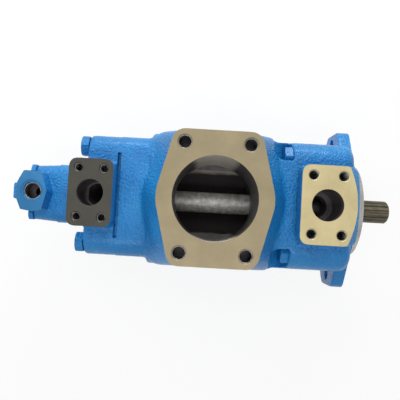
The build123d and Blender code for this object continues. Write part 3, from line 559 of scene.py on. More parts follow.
def lathe_cone(radius, slope, start, end, outer):
    """A thick ring whose inside is a cone round the shaft: what the lathe takes off the pad."""
    bpy.ops.mesh.primitive_cone_add(vertices=160, radius1=radius - slope * start, radius2=radius - slope * end,
                                    depth=end - start, location=((start + end) / 2, 0, 0),
                                    rotation=(0, QUARTER_TURN, 0))
    inside = settle(bpy.context.object, "cone")
    ring = bar(outer, start + MM, end - MM, sides=96)
    return cut(ring, inside)


print("outlet 1 face at", [round(v, 4) for v in outlet_1])

# %% [markdown]
# The body's front edge is bevelled wide, which gives the soft shoulder behind the flange.  After pouring, the
# faces are milled, the pilot is turned, and the bores step down from the cartridge to the shaft and up again
# to the seal and the bearing.  Their lengths follow the pieces that sit in them.

# %% The front housing's sizes
SHOULDER_X, SHOULDER_ROUND = -5 * MM, 13 * MM
PAD_1 = {"low_x": -80.4 * MM, "high_x": -10 * MM, "half_y": 47.3 * MM, "floor": 60 * MM}
PAD_1_CONE = {"radius": 107.2 * MM, "slope": 0.85, "start": -60 * MM, "end": 4 * MM, "outer": 170 * MM}
LIP_Z = 94 * MM               # above this, the pad hangs over the joint and isn't milled
PILOT_ROOT, PILOT_CHAMFER = -2 * MM, 1.2 * MM
FRONT_SEAT_END = -66 * MM     # of the cartridge
PLATE_BORE = (50 * MM, -67 * MM, -36 * MM)      # radius, start and end
HUB_R, HUB_START = 27.1 * MM, -37 * MM
SHAFT_ROOM_R, SEAL_ROOM_R, SNAP_GROOVE = 19 * MM, 30 * MM, 2.2 * MM
PAST_PILOT = 30 * MM          # the bearing's bore is open to the front
PORT_1_FLOOR = 68 * MM
CORE_1, CORE_1_X = (14 * MM, 42 * MM, 69 * MM), -51 * MM
EAR_SCOOP_R, EAR_SCOOP_START, EAR_HOLE_START = 16.5 * MM, -46 * MM, -30 * MM
FRONT_TAP_END = -40 * MM
print("outlet 1 pad", {key: round(value, 4) for key, value in PAD_1.items()})

# %% Pour and machine the front housing


def turn_pilot():
    """The round spigot that centres the pump on its motor, with a chamfered rim."""
    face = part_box("front_housing")[1].x
    pilot = bar(size_of("mounting_pilot", "r_mm"), PILOT_ROOT, face, sides=160)
    bevel(pilot, lambda e: lies_at(e, X, face), PILOT_CHAMFER, 2)
    return pilot


def front_housing():
    body = beam(FRONT_JOINT - STOCK, SHOULDER_X, FRONT_HALF, FRONT_CORNER)
    bevel(body, lambda e: lies_at(e, X, SHOULDER_X), SHOULDER_ROUND, 5)
    outlet_pad = pad(**PAD_1, top=outlet_1.z)
    cut(outlet_pad, lathe_cone(**PAD_1_CONE))
    skin = pour([body, outlet_pad, *flange()], "front_casting", voxel=1.6 * MM, soften=8)
    cut(skin, mill(Z, outlet_1.z, 1), mill(X, 0, 1),
        block((FRONT_JOINT - MILL, -FAR, -FAR), (FRONT_JOINT, FAR, LIP_Z)))
    fuse(skin, turn_pilot())
    bearing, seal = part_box("bearing_outer_ring"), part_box("shaft_seal_case")
    plate_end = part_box("front_outlet_plate")[1].x
    bearing_r, seal_r = bearing[1].z, seal[1].z
    cut(skin, bar(FRONT_CARTRIDGE_R, FRONT_JOINT - OVERCUT, FRONT_SEAT_END, sides=96),
        bar(*PLATE_BORE, sides=96),
        bar(HUB_R, HUB_START, plate_end + 0.5 * MM),
        bar(SHAFT_ROOM_R, plate_end, seal[0].x + OVERLAP),
        bar(seal_r, seal[0].x, seal[1].x + OVERLAP),
        bar(SEAL_ROOM_R, seal[1].x, bearing[0].x + OVERLAP),
        bar(bearing_r, bearing[0].x, PAST_PILOT, sides=96),
        bar(bearing_r + SNAP_GROOVE, bearing[1].x, bearing[1].x + SNAP_GROOVE, sides=96),
        bar(size_of("outlet_1_port", "r_mm"), PORT_1_FLOOR, outlet_1.z + OVERCUT,
            along=Z, centre=(outlet_1.x, 0), sides=96),
        bar(*CORE_1, along=Z, centre=(CORE_1_X, 0), sides=80),
        tap_pattern("outlet_1_bolts", depth=27 * MM))
    flange_half = size_of("flange_bolts", "spacing_x_mm") / 2
    hole_r = size_of("flange_bolts", "hole_r_mm")
    for side in (-1, 1):
        ear = (side * flange_half, 0)
        cut(skin, bar(EAR_SCOOP_R, EAR_SCOOP_START, FLANGE_BACK, centre=ear),
            bar(hole_r, EAR_HOLE_START, OVERCUT, centre=ear))
    taps = [bar(TAP_R, FRONT_JOINT - OVERCUT, FRONT_TAP_END, centre=place) for place in mirror_corners(FRONT_BOLTS)]
    return cut(skin, gather(taps, "front_taps"))


front_casting = front_housing()
print("front casting", len(front_casting.data.polygons), "faces")

# %% [markdown]
# ## Rear cover
#
# The second outlet's pad leans out over the back of the cover, so its underside slopes back under it.

# %% The rear cover's sizes
outlet_2 = place_of("outlet_2_bolts")
REAR_FACE, COVER_HALF, COVER_ROUND = -344.5 * MM, 77 * MM, 4 * MM
PAD_2 = {"low_x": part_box("rear_cover")[0].x, "high_x": REAR_JOINT - 0.5 * MM, "half_y": 40.6 * MM, "floor": 45 * MM}
PAD_2_RISE = 19 * MM          # of its underside, towards the back
COVER_BACK = 0.45             # well behind the pad
COVER_PLATE_R, COVER_PLATE_END = 42 * MM, -328 * MM
COVER_HUB, COVER_SHAFT_ROOM = (22.1 * MM, -335 * MM, -327 * MM), (17 * MM, -342 * MM, -334 * MM)
AUX_SHAFT_R, AUX_SHAFT_END = 10.5 * MM, -341 * MM
PORT_2_FLOOR = 66 * MM
CORE_2_R, CORE_2_LONG, CORE_2_TOP, CORE_2_LEAN = 14 * MM, 44 * MM, 70 * MM, math.radians(20)
print("outlet 2 pad", {key: round(value, 4) for key, value in PAD_2.items()})

# %% Pour and machine the rear cover


def leaning_core():
    """The cored passage under the outlet, which leans forward towards the cartridge."""
    bpy.ops.mesh.primitive_cylinder_add(vertices=64, radius=CORE_2_R, depth=CORE_2_LONG)
    core = bpy.context.object
    core.rotation_euler = (0, -CORE_2_LEAN, 0)
    core.location = (outlet_2.x + math.sin(CORE_2_LEAN) * CORE_2_LONG / 2, 0,
                     CORE_2_TOP - math.cos(CORE_2_LEAN) * CORE_2_LONG / 2)
    return settle(core, "core")


def rear_cover():
    body = beam(REAR_FACE, REAR_JOINT + STOCK, COVER_HALF, REAR_CORNER)
    bevel(body, lambda e: lies_at(e, X, REAR_FACE), COVER_ROUND, 3)
    outlet_pad = pad(**PAD_2, top=outlet_2.z)
    shift(outlet_pad, lambda v: v.co.z < PAD_2["floor"] + MM and v.co.x < REAR_FACE + MM, (0, 0, PAD_2_RISE))
    skin = pour([body, outlet_pad], "rear_casting", voxel=1.5 * MM, soften=8)
    cut(skin, mill(Z, outlet_2.z, 1, back=COVER_BACK), mill(X, REAR_JOINT, 1),
        bar(COVER_PLATE_R, COVER_PLATE_END, REAR_JOINT + OVERCUT, sides=96),
        bar(*COVER_HUB), bar(*COVER_SHAFT_ROOM),
        bar(AUX_SHAFT_R, REAR_FACE - OVERCUT, AUX_SHAFT_END),
        bar(size_of("outlet_2_port", "r_mm"), PORT_2_FLOOR, outlet_2.z + OVERCUT,
            along=Z, centre=(outlet_2.x, 0), sides=80),
        tap_pattern("outlet_2_bolts", depth=24 * MM))
    cut(skin, leaning_core())
    holes = [bar(CLEARANCE_R, REAR_FACE - OVERCUT, REAR_JOINT + OVERCUT, centre=place)
             for place in mirror_corners(REAR_BOLTS)]
    return cut(skin, gather(holes, "cover_holes"), joint_slots(REAR_JOINT - SLOT_HALF, REAR_JOINT + OVERLAP))


rear_casting = rear_cover()
print("rear casting", len(rear_casting.data.polygons), "faces")

# %% [markdown]
# ## Auxiliary pump
#
# The small pump at the back is a body and a cover.  The cover narrows towards its end and carries a boss
# with many sides for its threaded port, with a lug behind it.  The boss is drawn as a flat outline, filled
# and extruded, because its sides follow no regular pattern.

# %% The auxiliary pump's sizes
aux = place_of("aux_port")
aux_low, aux_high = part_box("aux_cover")
AUX_JOINT, AUX_END, AUX_FACE = aux_high.x, -422 * MM, 65.1 * MM
AUX_HALF, AUX_END_HALF, AUX_BODY_HALF, AUX_CORNER = 39 * MM, 36.5 * MM, 39.5 * MM, 13 * MM
AUX_SAND = 0.22 * MM          # depth of the print of the sand
SPOT_FACE, SPOT_R = AUX_FACE - 0.8 * MM, 14.5 * MM
PORT_WALL = 1.08              # the threaded port's wall, over the radius in the record
aux_core = size_of("aux_port", "r_mm") / THREAD_GROWTH * PORT_WALL
AUX_BOLTS, AUX_HOLE_R, AUX_HEAD_R, HEAD_ROOM = 29 * MM, 5.5 * MM, 10 * MM, 20 * MM
AUX_RING_R, AUX_RING_START, AUX_RING_END = 30.1 * MM, -397 * MM, -357 * MM
SPRING_ROOM, NOSE_ROOM = (24 * MM, -402 * MM, -396 * MM), (11 * MM, -417 * MM, -401 * MM)
AUX_SEAL_R, AUX_SEAL_START = 12 * MM, -358 * MM
CORE_3_X, CORE_3_R = -411 * MM, 7.5 * MM
AUX_FAR, AUX_MILL, AUX_BACK, AUX_FORE = 0.1, 0.02, -0.5, -0.3      # reach of the small pump's cutters
print("auxiliary port's face at", round(SPOT_FACE, 4), "core radius", round(aux_core, 5))

# %% The auxiliary port's boss
BOSS_OUTLINE = [(-12, 26), (10, 26), (19, 2), (13.5, -23), (-2, -26), (-13.4, -24.4), (-19.5, -10.6), (-19.5, 11)]
BOSS_FLOOR, BOSS_SLOPE = 20 * MM, 78 * MM
LUG_LOW, LUG_HIGH, LUG_CORNER = (-11 * MM, 32 * MM), (10 * MM, 61 * MM), 2.5 * MM


def aux_boss():
    bpy.ops.mesh.primitive_circle_add(vertices=len(BOSS_OUTLINE), fill_type="NGON", radius=1,
                                      location=(0, 0, 0))
    boss = settle(bpy.context.object, "aux_boss")
    for vertex, (x, y) in zip(boss.data.vertices, reversed(BOSS_OUTLINE)):
        vertex.co = (aux.x + x * MM, y * MM, BOSS_FLOOR)
    edit(boss, "FACE")
    bpy.ops.mesh.select_all(action="SELECT")
    bpy.ops.mesh.normals_make_consistent(inside=False)
    bpy.ops.mesh.extrude_region_move(TRANSFORM_OT_translate={"value": (0, 0, AUX_FACE + STOCK - BOSS_FLOOR)})
    bpy.ops.mesh.select_all(action="SELECT")
    bpy.ops.mesh.normals_make_consistent(inside=False)
    done()
    return boss


def overhang():
    """The boss and its lug, with an underside that slopes back to the cover where they hang out past it."""
    lug = block((aux_low.x, *LUG_LOW), (AUX_END, *LUG_HIGH), LUG_CORNER, along=Z)
    under = block((AUX_BACK, -AUX_FAR, -AUX_FAR), (AUX_END, AUX_FAR, BOSS_FLOOR))
    shift(under, lambda v: lies_at(v, X, AUX_BACK) and v.co.z > 0, (0, 0, BOSS_SLOPE))
    return cut(fuse(aux_boss(), lug), under)


print("boss with", len(BOSS_OUTLINE), "sides")

# %% [markdown]
# Cover and body take a shallower print of the sand than the large castings.  Both are bored for the cam ring,
# and the same four bolts pass through both.

# %% Pour and machine the auxiliary pump


def aux_cover():
    shell = beam(AUX_END, AUX_JOINT + STOCK, AUX_HALF, AUX_CORNER)
    shrink = AUX_END_HALF / AUX_HALF
    spread(shell, lambda v: v.co.x < AUX_END + MM, (1, shrink, shrink), (AUX_END, 0, 0))
    skin = pour([shell, overhang()], "aux_cover_casting", voxel=1.1 * MM, soften=6, depth=AUX_SAND)
    cut(skin, block((AUX_BACK, -AUX_FAR, AUX_FACE), (AUX_FORE, AUX_FAR, AUX_FAR)),
        beam(AUX_JOINT, AUX_JOINT + AUX_MILL, AUX_FAR),
        bar(AUX_RING_R, AUX_RING_START, AUX_JOINT + OVERCUT, sides=80),
        bar(*SPRING_ROOM), bar(*NOSE_ROOM),
        bar(SPOT_R, SPOT_FACE, AUX_FACE + OVERCUT, along=Z, centre=(aux.x, 0)),
        tapping(aux_core, aux.x, 0, SPOT_FACE, depth=24 * MM, sides=64),
        bar(CORE_3_R, 0, SPOT_FACE - 20 * MM, along=Z, centre=(CORE_3_X, 0)))
    corners = mirror_corners(AUX_BOLTS)
    holes = [bar(AUX_HOLE_R, AUX_END - OVERCUT, AUX_JOINT + OVERCUT, centre=place) for place in corners]
    rooms = [bar(AUX_HEAD_R, AUX_END - HEAD_ROOM, AUX_END, centre=place) for place in corners]
    return cut(skin, gather(holes, "aux_holes"), gather(rooms, "head_room"))


def aux_body():
    blank = beam(AUX_JOINT - STOCK, REAR_FACE + STOCK, AUX_BODY_HALF, AUX_CORNER)
    skin = pour([blank], "aux_body_casting", voxel=1.2 * MM, soften=6, depth=AUX_SAND)
    cut(skin, beam(AUX_JOINT - AUX_MILL, AUX_JOINT, AUX_FAR), beam(REAR_FACE, REAR_FACE + AUX_MILL, AUX_FAR),
        bar(AUX_RING_R, AUX_JOINT - OVERCUT, AUX_RING_END, sides=80),
        bar(AUX_SEAL_R, AUX_SEAL_START, REAR_FACE + OVERCUT))
    holes = [bar(AUX_HOLE_R, AUX_JOINT - OVERCUT, REAR_FACE + OVERCUT, centre=place)
             for place in mirror_corners(AUX_BOLTS)]
    return cut(skin, gather(holes, "aux_holes"))


aux_cover_casting = aux_cover()
aux_body_casting = aux_body()
print("auxiliary castings", len(aux_cover_casting.data.polygons), len(aux_body_casting.data.polygons), "faces")

# %% [markdown]
# ## Screw threads
#
# A thread is one small tooth carried round and down.  The Screw modifier does just that: it takes a profile
# of three points, turns it round an axis and drops it by the pitch on each turn.  Each hole gets its own coil,
# and the four coils of a port are one piece.

# %% One thread
BITE = 0.05 * MM              # how far the ridge stands in the wall


def thread(core_r, pitch, turns, x, y, top, name, steps=28):
    """A helical ridge from the hole's wall in to the core radius, made by turning a triangle."""
    wall_r = core_r * THREAD_GROWTH + BITE
    bpy.ops.mesh.primitive_circle_add(vertices=3, radius=1, fill_type="NOTHING")
    ridge = settle(bpy.context.object, name)
    for vertex, (r, height) in zip(ridge.data.vertices, ((wall_r, 0.1), (core_r, 0.5), (wall_r, 0.9))):
        vertex.co = (r, 0, height * pitch)
    modify(ridge, "SCREW", screw_offset=-pitch, iterations=turns, steps=steps, render_steps=steps,
           use_merge_vertices=False)
    edit(ridge, "EDGE")
    bpy.ops.mesh.select_all(action="SELECT")
    bpy.ops.mesh.fill_holes(sides=3)
    bpy.ops.mesh.select_all(action="SELECT")
    bpy.ops.mesh.normals_make_consistent(inside=False)
    done()
    ridge.location = (x, y, top - MOUTH - pitch)
    return settle(ridge, name)


print("a ridge stands", round(BITE, 6), "in the wall of its hole")

# %% [markdown]
# The port bolts have coarse metric threads, of 16, 12 and 10 mm.  The auxiliary port has a pipe thread, with
# fourteen turns to the inch.

# %% Threads in the port holes
THREAD_TABLE = (("inlet_bolts", 2.0 * MM, 26 * MM), ("outlet_1_bolts", 1.75 * MM, 21 * MM),
                ("outlet_2_bolts", 1.5 * MM, 18 * MM))       # holes, pitch and depth
AUX_PITCH, AUX_TURNS = 1.81 * MM, 9


def port_threads(pattern, pitch, depth):
    core_r = size_of(pattern, "hole_r_mm")
    turns = int(depth / pitch)
    coils = [thread(core_r, pitch, turns, x, y, z, "coil") for x, y, z in bolt_places(pattern)]
    return gather(coils, pattern.replace("_bolts", "_threads"))


threads = [port_threads(pattern, pitch, depth) for pattern, pitch, depth in THREAD_TABLE]
threads.append(thread(aux_core, AUX_PITCH, AUX_TURNS, aux.x, 0, SPOT_FACE, "aux_thread", steps=40))
print("threads", [piece.name for piece in threads])

# %% [markdown]
# ## Riding on the frame
#
# The castings stand for the plain ones of the frame, so those are hidden.  Everything here belongs to the
# pump's case, which stays still while the shaft turns.

# %% Which piece stands for what
castings = {"inlet_housing": inlet_casting, "front_housing": front_casting, "rear_cover": rear_casting,
            "aux_cover": aux_cover_casting, "aux_body": aux_body_casting}
for node, piece in castings.items():
    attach(piece, "case")
    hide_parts(node)
for piece in threads:
    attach(piece, "case")
print("castings stand for", list(castings), "and", len(threads), "threads are added")

# %% [markdown]
# ## Materials
#
# Each finish is a small node tree that reads Object coordinates, so grain keeps its real size on every piece.
# A helper adds nodes and links by name, to keep the recipes short.

# %% A short way to write node trees


class Recipe:
    """A material whose nodes are added one by one."""

    def __init__(self, name, **shader_values):
        self.material = bpy.data.materials.new(name)
        self.material.use_nodes = True
        self.nodes = self.material.node_tree.nodes
        self.links = self.material.node_tree.links
        self.shader = self.nodes["Principled BSDF"]
        self.place = self.nodes.new("ShaderNodeTexCoord").outputs["Object"]
        for key, value in shader_values.items():
            self.shader.inputs[key.replace("_", " ")].default_value = value

    def add(self, kind, inputs=None, **settings):
        node = self.nodes.new("ShaderNode" + kind)
        for key, value in settings.items():
            setattr(node, key, value)
        for key, value in (inputs or {}).items():
            if hasattr(value, "is_output"):
                self.links.new(value, node.inputs[key])
            else:
                node.inputs[key].default_value = value
        return node

    def noise(self, scale, detail=2.0, roughness=0.5, vector=None):
        node = self.add("TexNoise", {"Vector": vector or self.place, "Scale": scale, "Detail": detail,
                                     "Roughness": roughness})
        return node.outputs["Fac"]

    def stretch(self, x, y, z):
        return self.add("Mapping", {"Vector": self.place, "Scale": (x, y, z)}).outputs["Vector"]

    def ramp(self, value, *stops):
        node = self.add("ValToRGB", {"Fac": value})
        while len(node.color_ramp.elements) < len(stops):
            node.color_ramp.elements.new(0.5)
        for element, (position, colour) in zip(node.color_ramp.elements, stops):
            element.position = position
            element.color = (*colour, 1)
        return node.outputs["Color"]

    def mix(self, share, first, second, blend="MIX"):
        node = self.add("Mix", data_type="RGBA", blend_type=blend)
        for index, value in ((0, share), (6, first), (7, second)):
            if hasattr(value, "is_output"):
                self.links.new(value, node.inputs[index])
            elif index == 0:
                node.inputs[index].default_value = value
            else:
                node.inputs[index].default_value = (*value, 1)
        return node.outputs[2]

    def bump(self, height, strength, distance, below=None):
        inputs = {"Height": height, "Strength": strength, "Distance": distance}
        if below is not None:
            inputs["Normal"] = below
        return self.add("Bump", inputs).outputs["Normal"]

    def join(self, key, value):
        self.links.new(value, self.shader.inputs[key])
        return self


print("steps of a recipe", [step for step in vars(Recipe) if not step.startswith("_")])

# %% [markdown]
# ### Blue enamel over sand-cast iron
#
# The enamel is glossy and rather thick, so the sand's grain shows as soft pebbles.  A coarse noise gives the
# pebbles, a finer one breaks up the gloss, and a large slow one shifts the blue a little, as sprayed paint
# does.  The spot face round the auxiliary port was cut before painting, so its coat is thin, dull and smooth.

# %% Enamel
ENAMEL = (0.014, 0.200, 0.500)
ENAMEL_DEEP = (0.010, 0.155, 0.410)
ENAMEL_PALE = (0.024, 0.245, 0.560)
THIN_TONES = ((0.020, 0.135, 0.300), (0.028, 0.170, 0.370), (0.045, 0.210, 0.430))
DRIFT, PEBBLES, SKIN = 20, 330, 900      # scale of each noise: the larger, the finer
PEBBLE_DEPTH, THIN_DEPTH, SKIN_DEPTH = 2.3 * MM, 0.25 * MM, 0.3 * MM


def enamel(name, pebble_depth, tones):
    recipe = Recipe(name, Roughness=0.32, Specular_IOR_Level=0.24, Coat_Weight=0.12, Coat_Roughness=0.14)
    recipe.join("Base Color", recipe.ramp(recipe.noise(DRIFT, 4, 0.55), *zip((0.30, 0.52, 0.74), tones)))
    pebbles = recipe.bump(recipe.noise(PEBBLES, 1.5, 0.45), 0.9, pebble_depth)
    skin = recipe.bump(recipe.noise(SKIN, 2, 0.5), 0.25, SKIN_DEPTH, pebbles)
    return recipe.join("Normal", skin).material


blue = enamel("blue_enamel", PEBBLE_DEPTH, (ENAMEL_DEEP, ENAMEL, ENAMEL_PALE))
thin_blue = enamel("thin_enamel", THIN_DEPTH, THIN_TONES)
print("enamels", blue.name, thin_blue.name)

# %% [markdown]
# ### Milled faces
#
# A face mill leaves fine scratches in one main direction, seen as streaks in the gloss.  A noise stretched along Y
# draws them.  Each port face has its own tone, which is painted reflection: the faces differ in tone by what they
# reflect, and the second outlet's face is painted dark for the dark surroundings in it.

# %% Milled and turned metal
STREAK_DEPTH = 0.08 * MM


def milled(name, pale, deep, metal=0.55, rough=0.42, along=(1400, 120, 400)):
    recipe = Recipe(name, Metallic=metal, Roughness=rough)
    streaks = recipe.noise(1.0, 3, 0.6, recipe.stretch(*along))
    stain = recipe.noise(34, 5, 0.6)
    tone = recipe.ramp(stain, (0.34, deep), (0.66, pale))
    recipe.join("Base Color", recipe.mix(0.22, tone, recipe.ramp(streaks, (0.35, deep), (0.65, pale))))
    return recipe.join("Normal", recipe.bump(streaks, 0.12, STREAK_DEPTH)).material


# The three port faces' tones are painted reflection; the second outlet's dark tone stands for dark surroundings
# reflected in it.
inlet_face = milled("inlet_face_painted_reflection", (0.29, 0.235, 0.135), (0.225, 0.185, 0.105), 0.30, 0.50)
outlet_1_face = milled("first_outlet_face_painted_reflection", (0.54, 0.46, 0.245), (0.44, 0.37, 0.195), 0.30, 0.50)
outlet_2_face = milled("second_outlet_face_painted_reflection", (0.036, 0.033, 0.021), (0.021, 0.019, 0.012), 0.10, 0.50)
turned = milled("turned_steel", (0.50, 0.50, 0.46), (0.24, 0.24, 0.22), 0.80, 0.30, (120, 120, 1400))
print("machined finishes", [finish.name for finish in (inlet_face, outlet_1_face, outlet_2_face, turned)])

# %% [markdown]
# ### Painted shade and light in the bores
#
# Inside the ports the iron is painted dark, in mottled patches, as painted shade.  The inlet chamber is wide, and
# light and shade are painted on its walls: the two sides are painted pale, as painted light, and both ends fade to
# black, as painted shade.  A noise added to the distance from the middle makes that border ragged.  A thin dark rim
# runs round the mouth, painted shade of its broken edge.

# %% Bores and inlet chamber
# Colours of painted light and shade in the inlet chamber: the lit sides, the shaded ends and the shaded rim.
CHAMBER_SHADE = (0.05, 0.042, 0.045)
CHAMBER_HALF_LIT, CHAMBER_LIT, RIM_SHADE = (0.50, 0.47, 0.41), (0.66, 0.62, 0.55), (0.16, 0.14, 0.11)
BORE_GRAIN = 420
RAGGED = 6 * MM               # how far the noise moves the border
SHADE_END, LIT_START = 45 * MM, 56 * MM
RIM = 1.3 * MM


# Dark iron inside the bores and holes is painted shade.
def shaded_bore(name, pale, deep, metal):
    recipe = Recipe(name, Metallic=metal, Roughness=0.40)
    recipe.join("Base Color", recipe.ramp(recipe.noise(75, 6, 0.65), (0.38, deep), (0.66, pale)))
    return recipe.join("Normal", recipe.bump(recipe.noise(BORE_GRAIN, 3, 0.6), 0.5, 0.5 * MM)).material


# The chamber's walls are painted: pale on the sides as painted light, black towards the ends and dark at the rim as
# painted shade.
def chamber_lit_and_shaded():
    recipe = Recipe("chamber_lit_and_shaded", Metallic=0.1, Roughness=0.5)
    split = recipe.add("SeparateXYZ", {0: recipe.place}).outputs
    across = recipe.add("Math", {0: split["Y"]}, operation="ABSOLUTE").outputs[0]
    patches = recipe.add("Math", {0: recipe.noise(60, 5, 0.6), 1: RAGGED, 2: across}, operation="MULTIPLY_ADD")
    span = recipe.add("MapRange", {"Value": patches.outputs[0], "From Min": SHADE_END, "From Max": LIT_START})
    lit_and_shaded = recipe.ramp(span.outputs["Result"], (0.0, CHAMBER_SHADE), (0.35, CHAMBER_HALF_LIT), (1.0, CHAMBER_LIT))
    rim_shade = recipe.add("Math", {0: split["Z"], 1: inlet.z - RIM}, operation="GREATER_THAN").outputs[0]
    recipe.join("Base Color", recipe.mix(rim_shade, lit_and_shaded, RIM_SHADE))
    return recipe.join("Normal", recipe.bump(recipe.noise(BORE_GRAIN, 3, 0.6), 0.6, 0.8 * MM)).material


dark = shaded_bore("bore_iron_painted_shade", (0.105, 0.088, 0.095), (0.045, 0.036, 0.041), 0.1)
bored = chamber_lit_and_shaded()
print("bore finishes", dark.name, bored.name)

# %% [markdown]
# ### Painting the castings
#
# A casting has enamel outside, bare metal on its machined faces and dark iron inside, which is painted shade.  Which
# face is which is decided by place and by where the face points.  A flat face at a port's height is milled.  A face
# on the wall or the floor of a drilled hole gets the painted shade.  The tests for walls have a limit in depth and
# width, so that they don't reach through a thin casting to its outer skin.

# %% Tests of place
UP_SHARE, WALL_SHARE = 0.9, 0.6    # how much of its normal a face turns upwards, or to the hole's axis
FLAT_SLACK, WALL_SLACK = 0.15 * MM, 0.6 * MM
TAP_REACH = 34 * MM


def radial(point):
    return math.hypot(point.y, point.z)


def in_bore(point, centre, radius):
    return math.hypot(point.x - centre.x, point.y - centre.y) < radius


def flat_top(point, normal, height):
    return normal.z > UP_SHARE and abs(point.z - height) < FLAT_SLACK


def on_wall(point, normal, x, y, radius, reach):
    """True on the wall of an upright hole, and on its floor."""
    inward = Vector((x - point.x, y - point.y, 0))
    faces_axis = inward.length > radius - WALL_SLACK and normal.dot(inward.normalized()) > WALL_SHARE
    return inward.length < reach and (faces_axis or normal.z > UP_SHARE)


def in_taps(point, normal, pattern, height):
    wall = size_of(pattern, "hole_r_mm") * THREAD_GROWTH
    return height - TAP_REACH < point.z < height - 0.01 * MM and any(
        on_wall(point, normal, x, y, wall, wall + MOUTH * 1.02) for x, y, _ in bolt_places(pattern))


print("distance of the inlet port from the shaft axis", round(radial(inlet), 4))

# %% [markdown]
# Each casting has its own list of finishes, and its chooser answers with a place in that list.  The enamel always
# comes first, the milled face second and the bore's painted shade third.  A fourth is there where it is needed: the
# chamber's painted light and shade in the inlet housing, and turned steel on the front of the flange.

# %% Choosers
ENAMELLED, MACHINED, SHADED_BORE, EXTRA = 0, 1, 2, 3
INLET_MOUTH_R, INLET_WALL_R, INLET_LOW, INLET_SKIN_LOW = 51.0 * MM, 50.3 * MM, -60 * MM, 60 * MM
OUTLET_1_R, OUTLET_1_LOW = 19.3 * MM, 40 * MM
OUTLET_2_R, OUTLET_2_LOW = 16.2 * MM, 30 * MM
HOLLOW_R, COVER_HOLLOW_R, AUX_HOLLOW_R = 66.5 * MM, 43 * MM, 31 * MM      # round the shaft axis
HALF_MM = 0.5 * MM
LEVEL, DOWN, BACKWARD = 0.1, -0.7, -0.8      # shares of a normal that is upright, hangs over or points back
PILOT_BORE_R = 30 * MM
AUX_SPOT_R, AUX_SPOT_DEPTH = 14.6 * MM, 2.2 * MM
AUX_WALL_R, AUX_PORT_REACH, CORE_3_REACH = 7.4 * MM, 11.2 * MM, 8 * MM


def port_side(point, normal, pattern):
    """Whether the face is milled, as on the port's face and its holes' mouths, and whether it is in a hole."""
    height = place_of(pattern).z
    tapped = in_taps(point, normal, pattern, height)
    return flat_top(point, normal, height) or tapped and point.z > height - MOUTH, tapped


def inlet_finish(point, normal):
    face, tapped = port_side(point, normal, "inlet_bolts")
    if face:
        return MACHINED
    inside = in_bore(point, inlet, INLET_MOUTH_R) and point.z > INLET_LOW
    port_wall = abs(normal.z) < LEVEL and not in_bore(point, inlet, INLET_WALL_R)
    if inside and (abs(radial(point) - CHAMBER_R) < HALF_MM or port_wall):
        return EXTRA
    if inside or tapped:
        return SHADED_BORE
    return SHADED_BORE if radial(point) < HOLLOW_R and point.z < INLET_SKIN_LOW else ENAMELLED


def front_finish(point, normal):
    face, tapped = port_side(point, normal, "outlet_1_bolts")
    if face:
        return MACHINED
    under_lip = normal.z < DOWN
    if tapped or in_bore(point, outlet_1, OUTLET_1_R) and point.z > OUTLET_1_LOW and not under_lip:
        return SHADED_BORE
    if point.x > -0.05 * MM and radial(point) > PILOT_BORE_R:
        return EXTRA
    return SHADED_BORE if radial(point) < HOLLOW_R and point.x < -HALF_MM else ENAMELLED


def rear_finish(point, normal):
    face, tapped = port_side(point, normal, "outlet_2_bolts")
    if face:
        return MACHINED
    outer_back = abs(point.x - REAR_FACE) < HALF_MM and normal.x < BACKWARD
    if tapped or in_bore(point, outlet_2, OUTLET_2_R) and point.z > OUTLET_2_LOW and not outer_back:
        return SHADED_BORE
    return SHADED_BORE if radial(point) < COVER_HOLLOW_R and point.x > REAR_FACE + MM else ENAMELLED


def aux_finish(point, normal):
    if normal.z > UP_SHARE and in_bore(point, aux, AUX_SPOT_R) and point.z > AUX_FACE - AUX_SPOT_DEPTH:
        return MACHINED
    if 0 < point.z < AUX_FACE - MM and (on_wall(point, normal, aux.x, 0, AUX_WALL_R, AUX_PORT_REACH)
                                        or on_wall(point, normal, CORE_3_X, 0, AUX_WALL_R, CORE_3_REACH)):
        return SHADED_BORE
    hollow = radial(point) < AUX_HOLLOW_R and point.x > AUX_END + 2 * MM and point.z < AUX_HOLLOW_R
    return SHADED_BORE if hollow else ENAMELLED


print("finish in the middle of the inlet face", inlet_finish(inlet, Vector((0, 0, 1))))

# %% Give each face its finish
SMOOTH_UP_TO = math.radians(38)     # sharper edges stay crisp


def paint(piece, finishes, chooser):
    piece.data.materials.clear()
    for finish in finishes:
        piece.data.materials.append(finish)
    for face in piece.data.polygons:
        face.material_index = chooser(face.center, face.normal)
    print(piece.name, "has", [finish.name for finish in finishes])


paint(inlet_casting, (blue, inlet_face, dark, bored), inlet_finish)
paint(front_casting, (blue, outlet_1_face, dark, turned), front_finish)
paint(rear_casting, (blue, outlet_2_face, dark), rear_finish)
paint(aux_cover_casting, (blue, thin_blue, dark), aux_finish)
paint(aux_body_casting, (blue, turned, dark), aux_finish)
for piece in castings.values():
    pick(piece)
    bpy.ops.object.shade_smooth_by_angle(angle=SMOOTH_UP_TO)

# %% [markdown]
# ### Shaft, bearing and inner pieces
#
# The pieces of the frame that show keep their shape and only get a finish.  Steel is ground or polished, cages are
# brass, seals are black rubber and the side plates are grey iron.  The shaft has two tones: dark along its splined
# end, and pale and dull where it crosses the inlet chamber, with a short change between.  The pale tone is painted
# light, which the lamps hardly bring into the chamber.

# %% Recipes for the frame's own pieces
SHAFT_DARK_TO, SHAFT_PAINTED_LIGHT_FROM = -60 * MM, -90 * MM


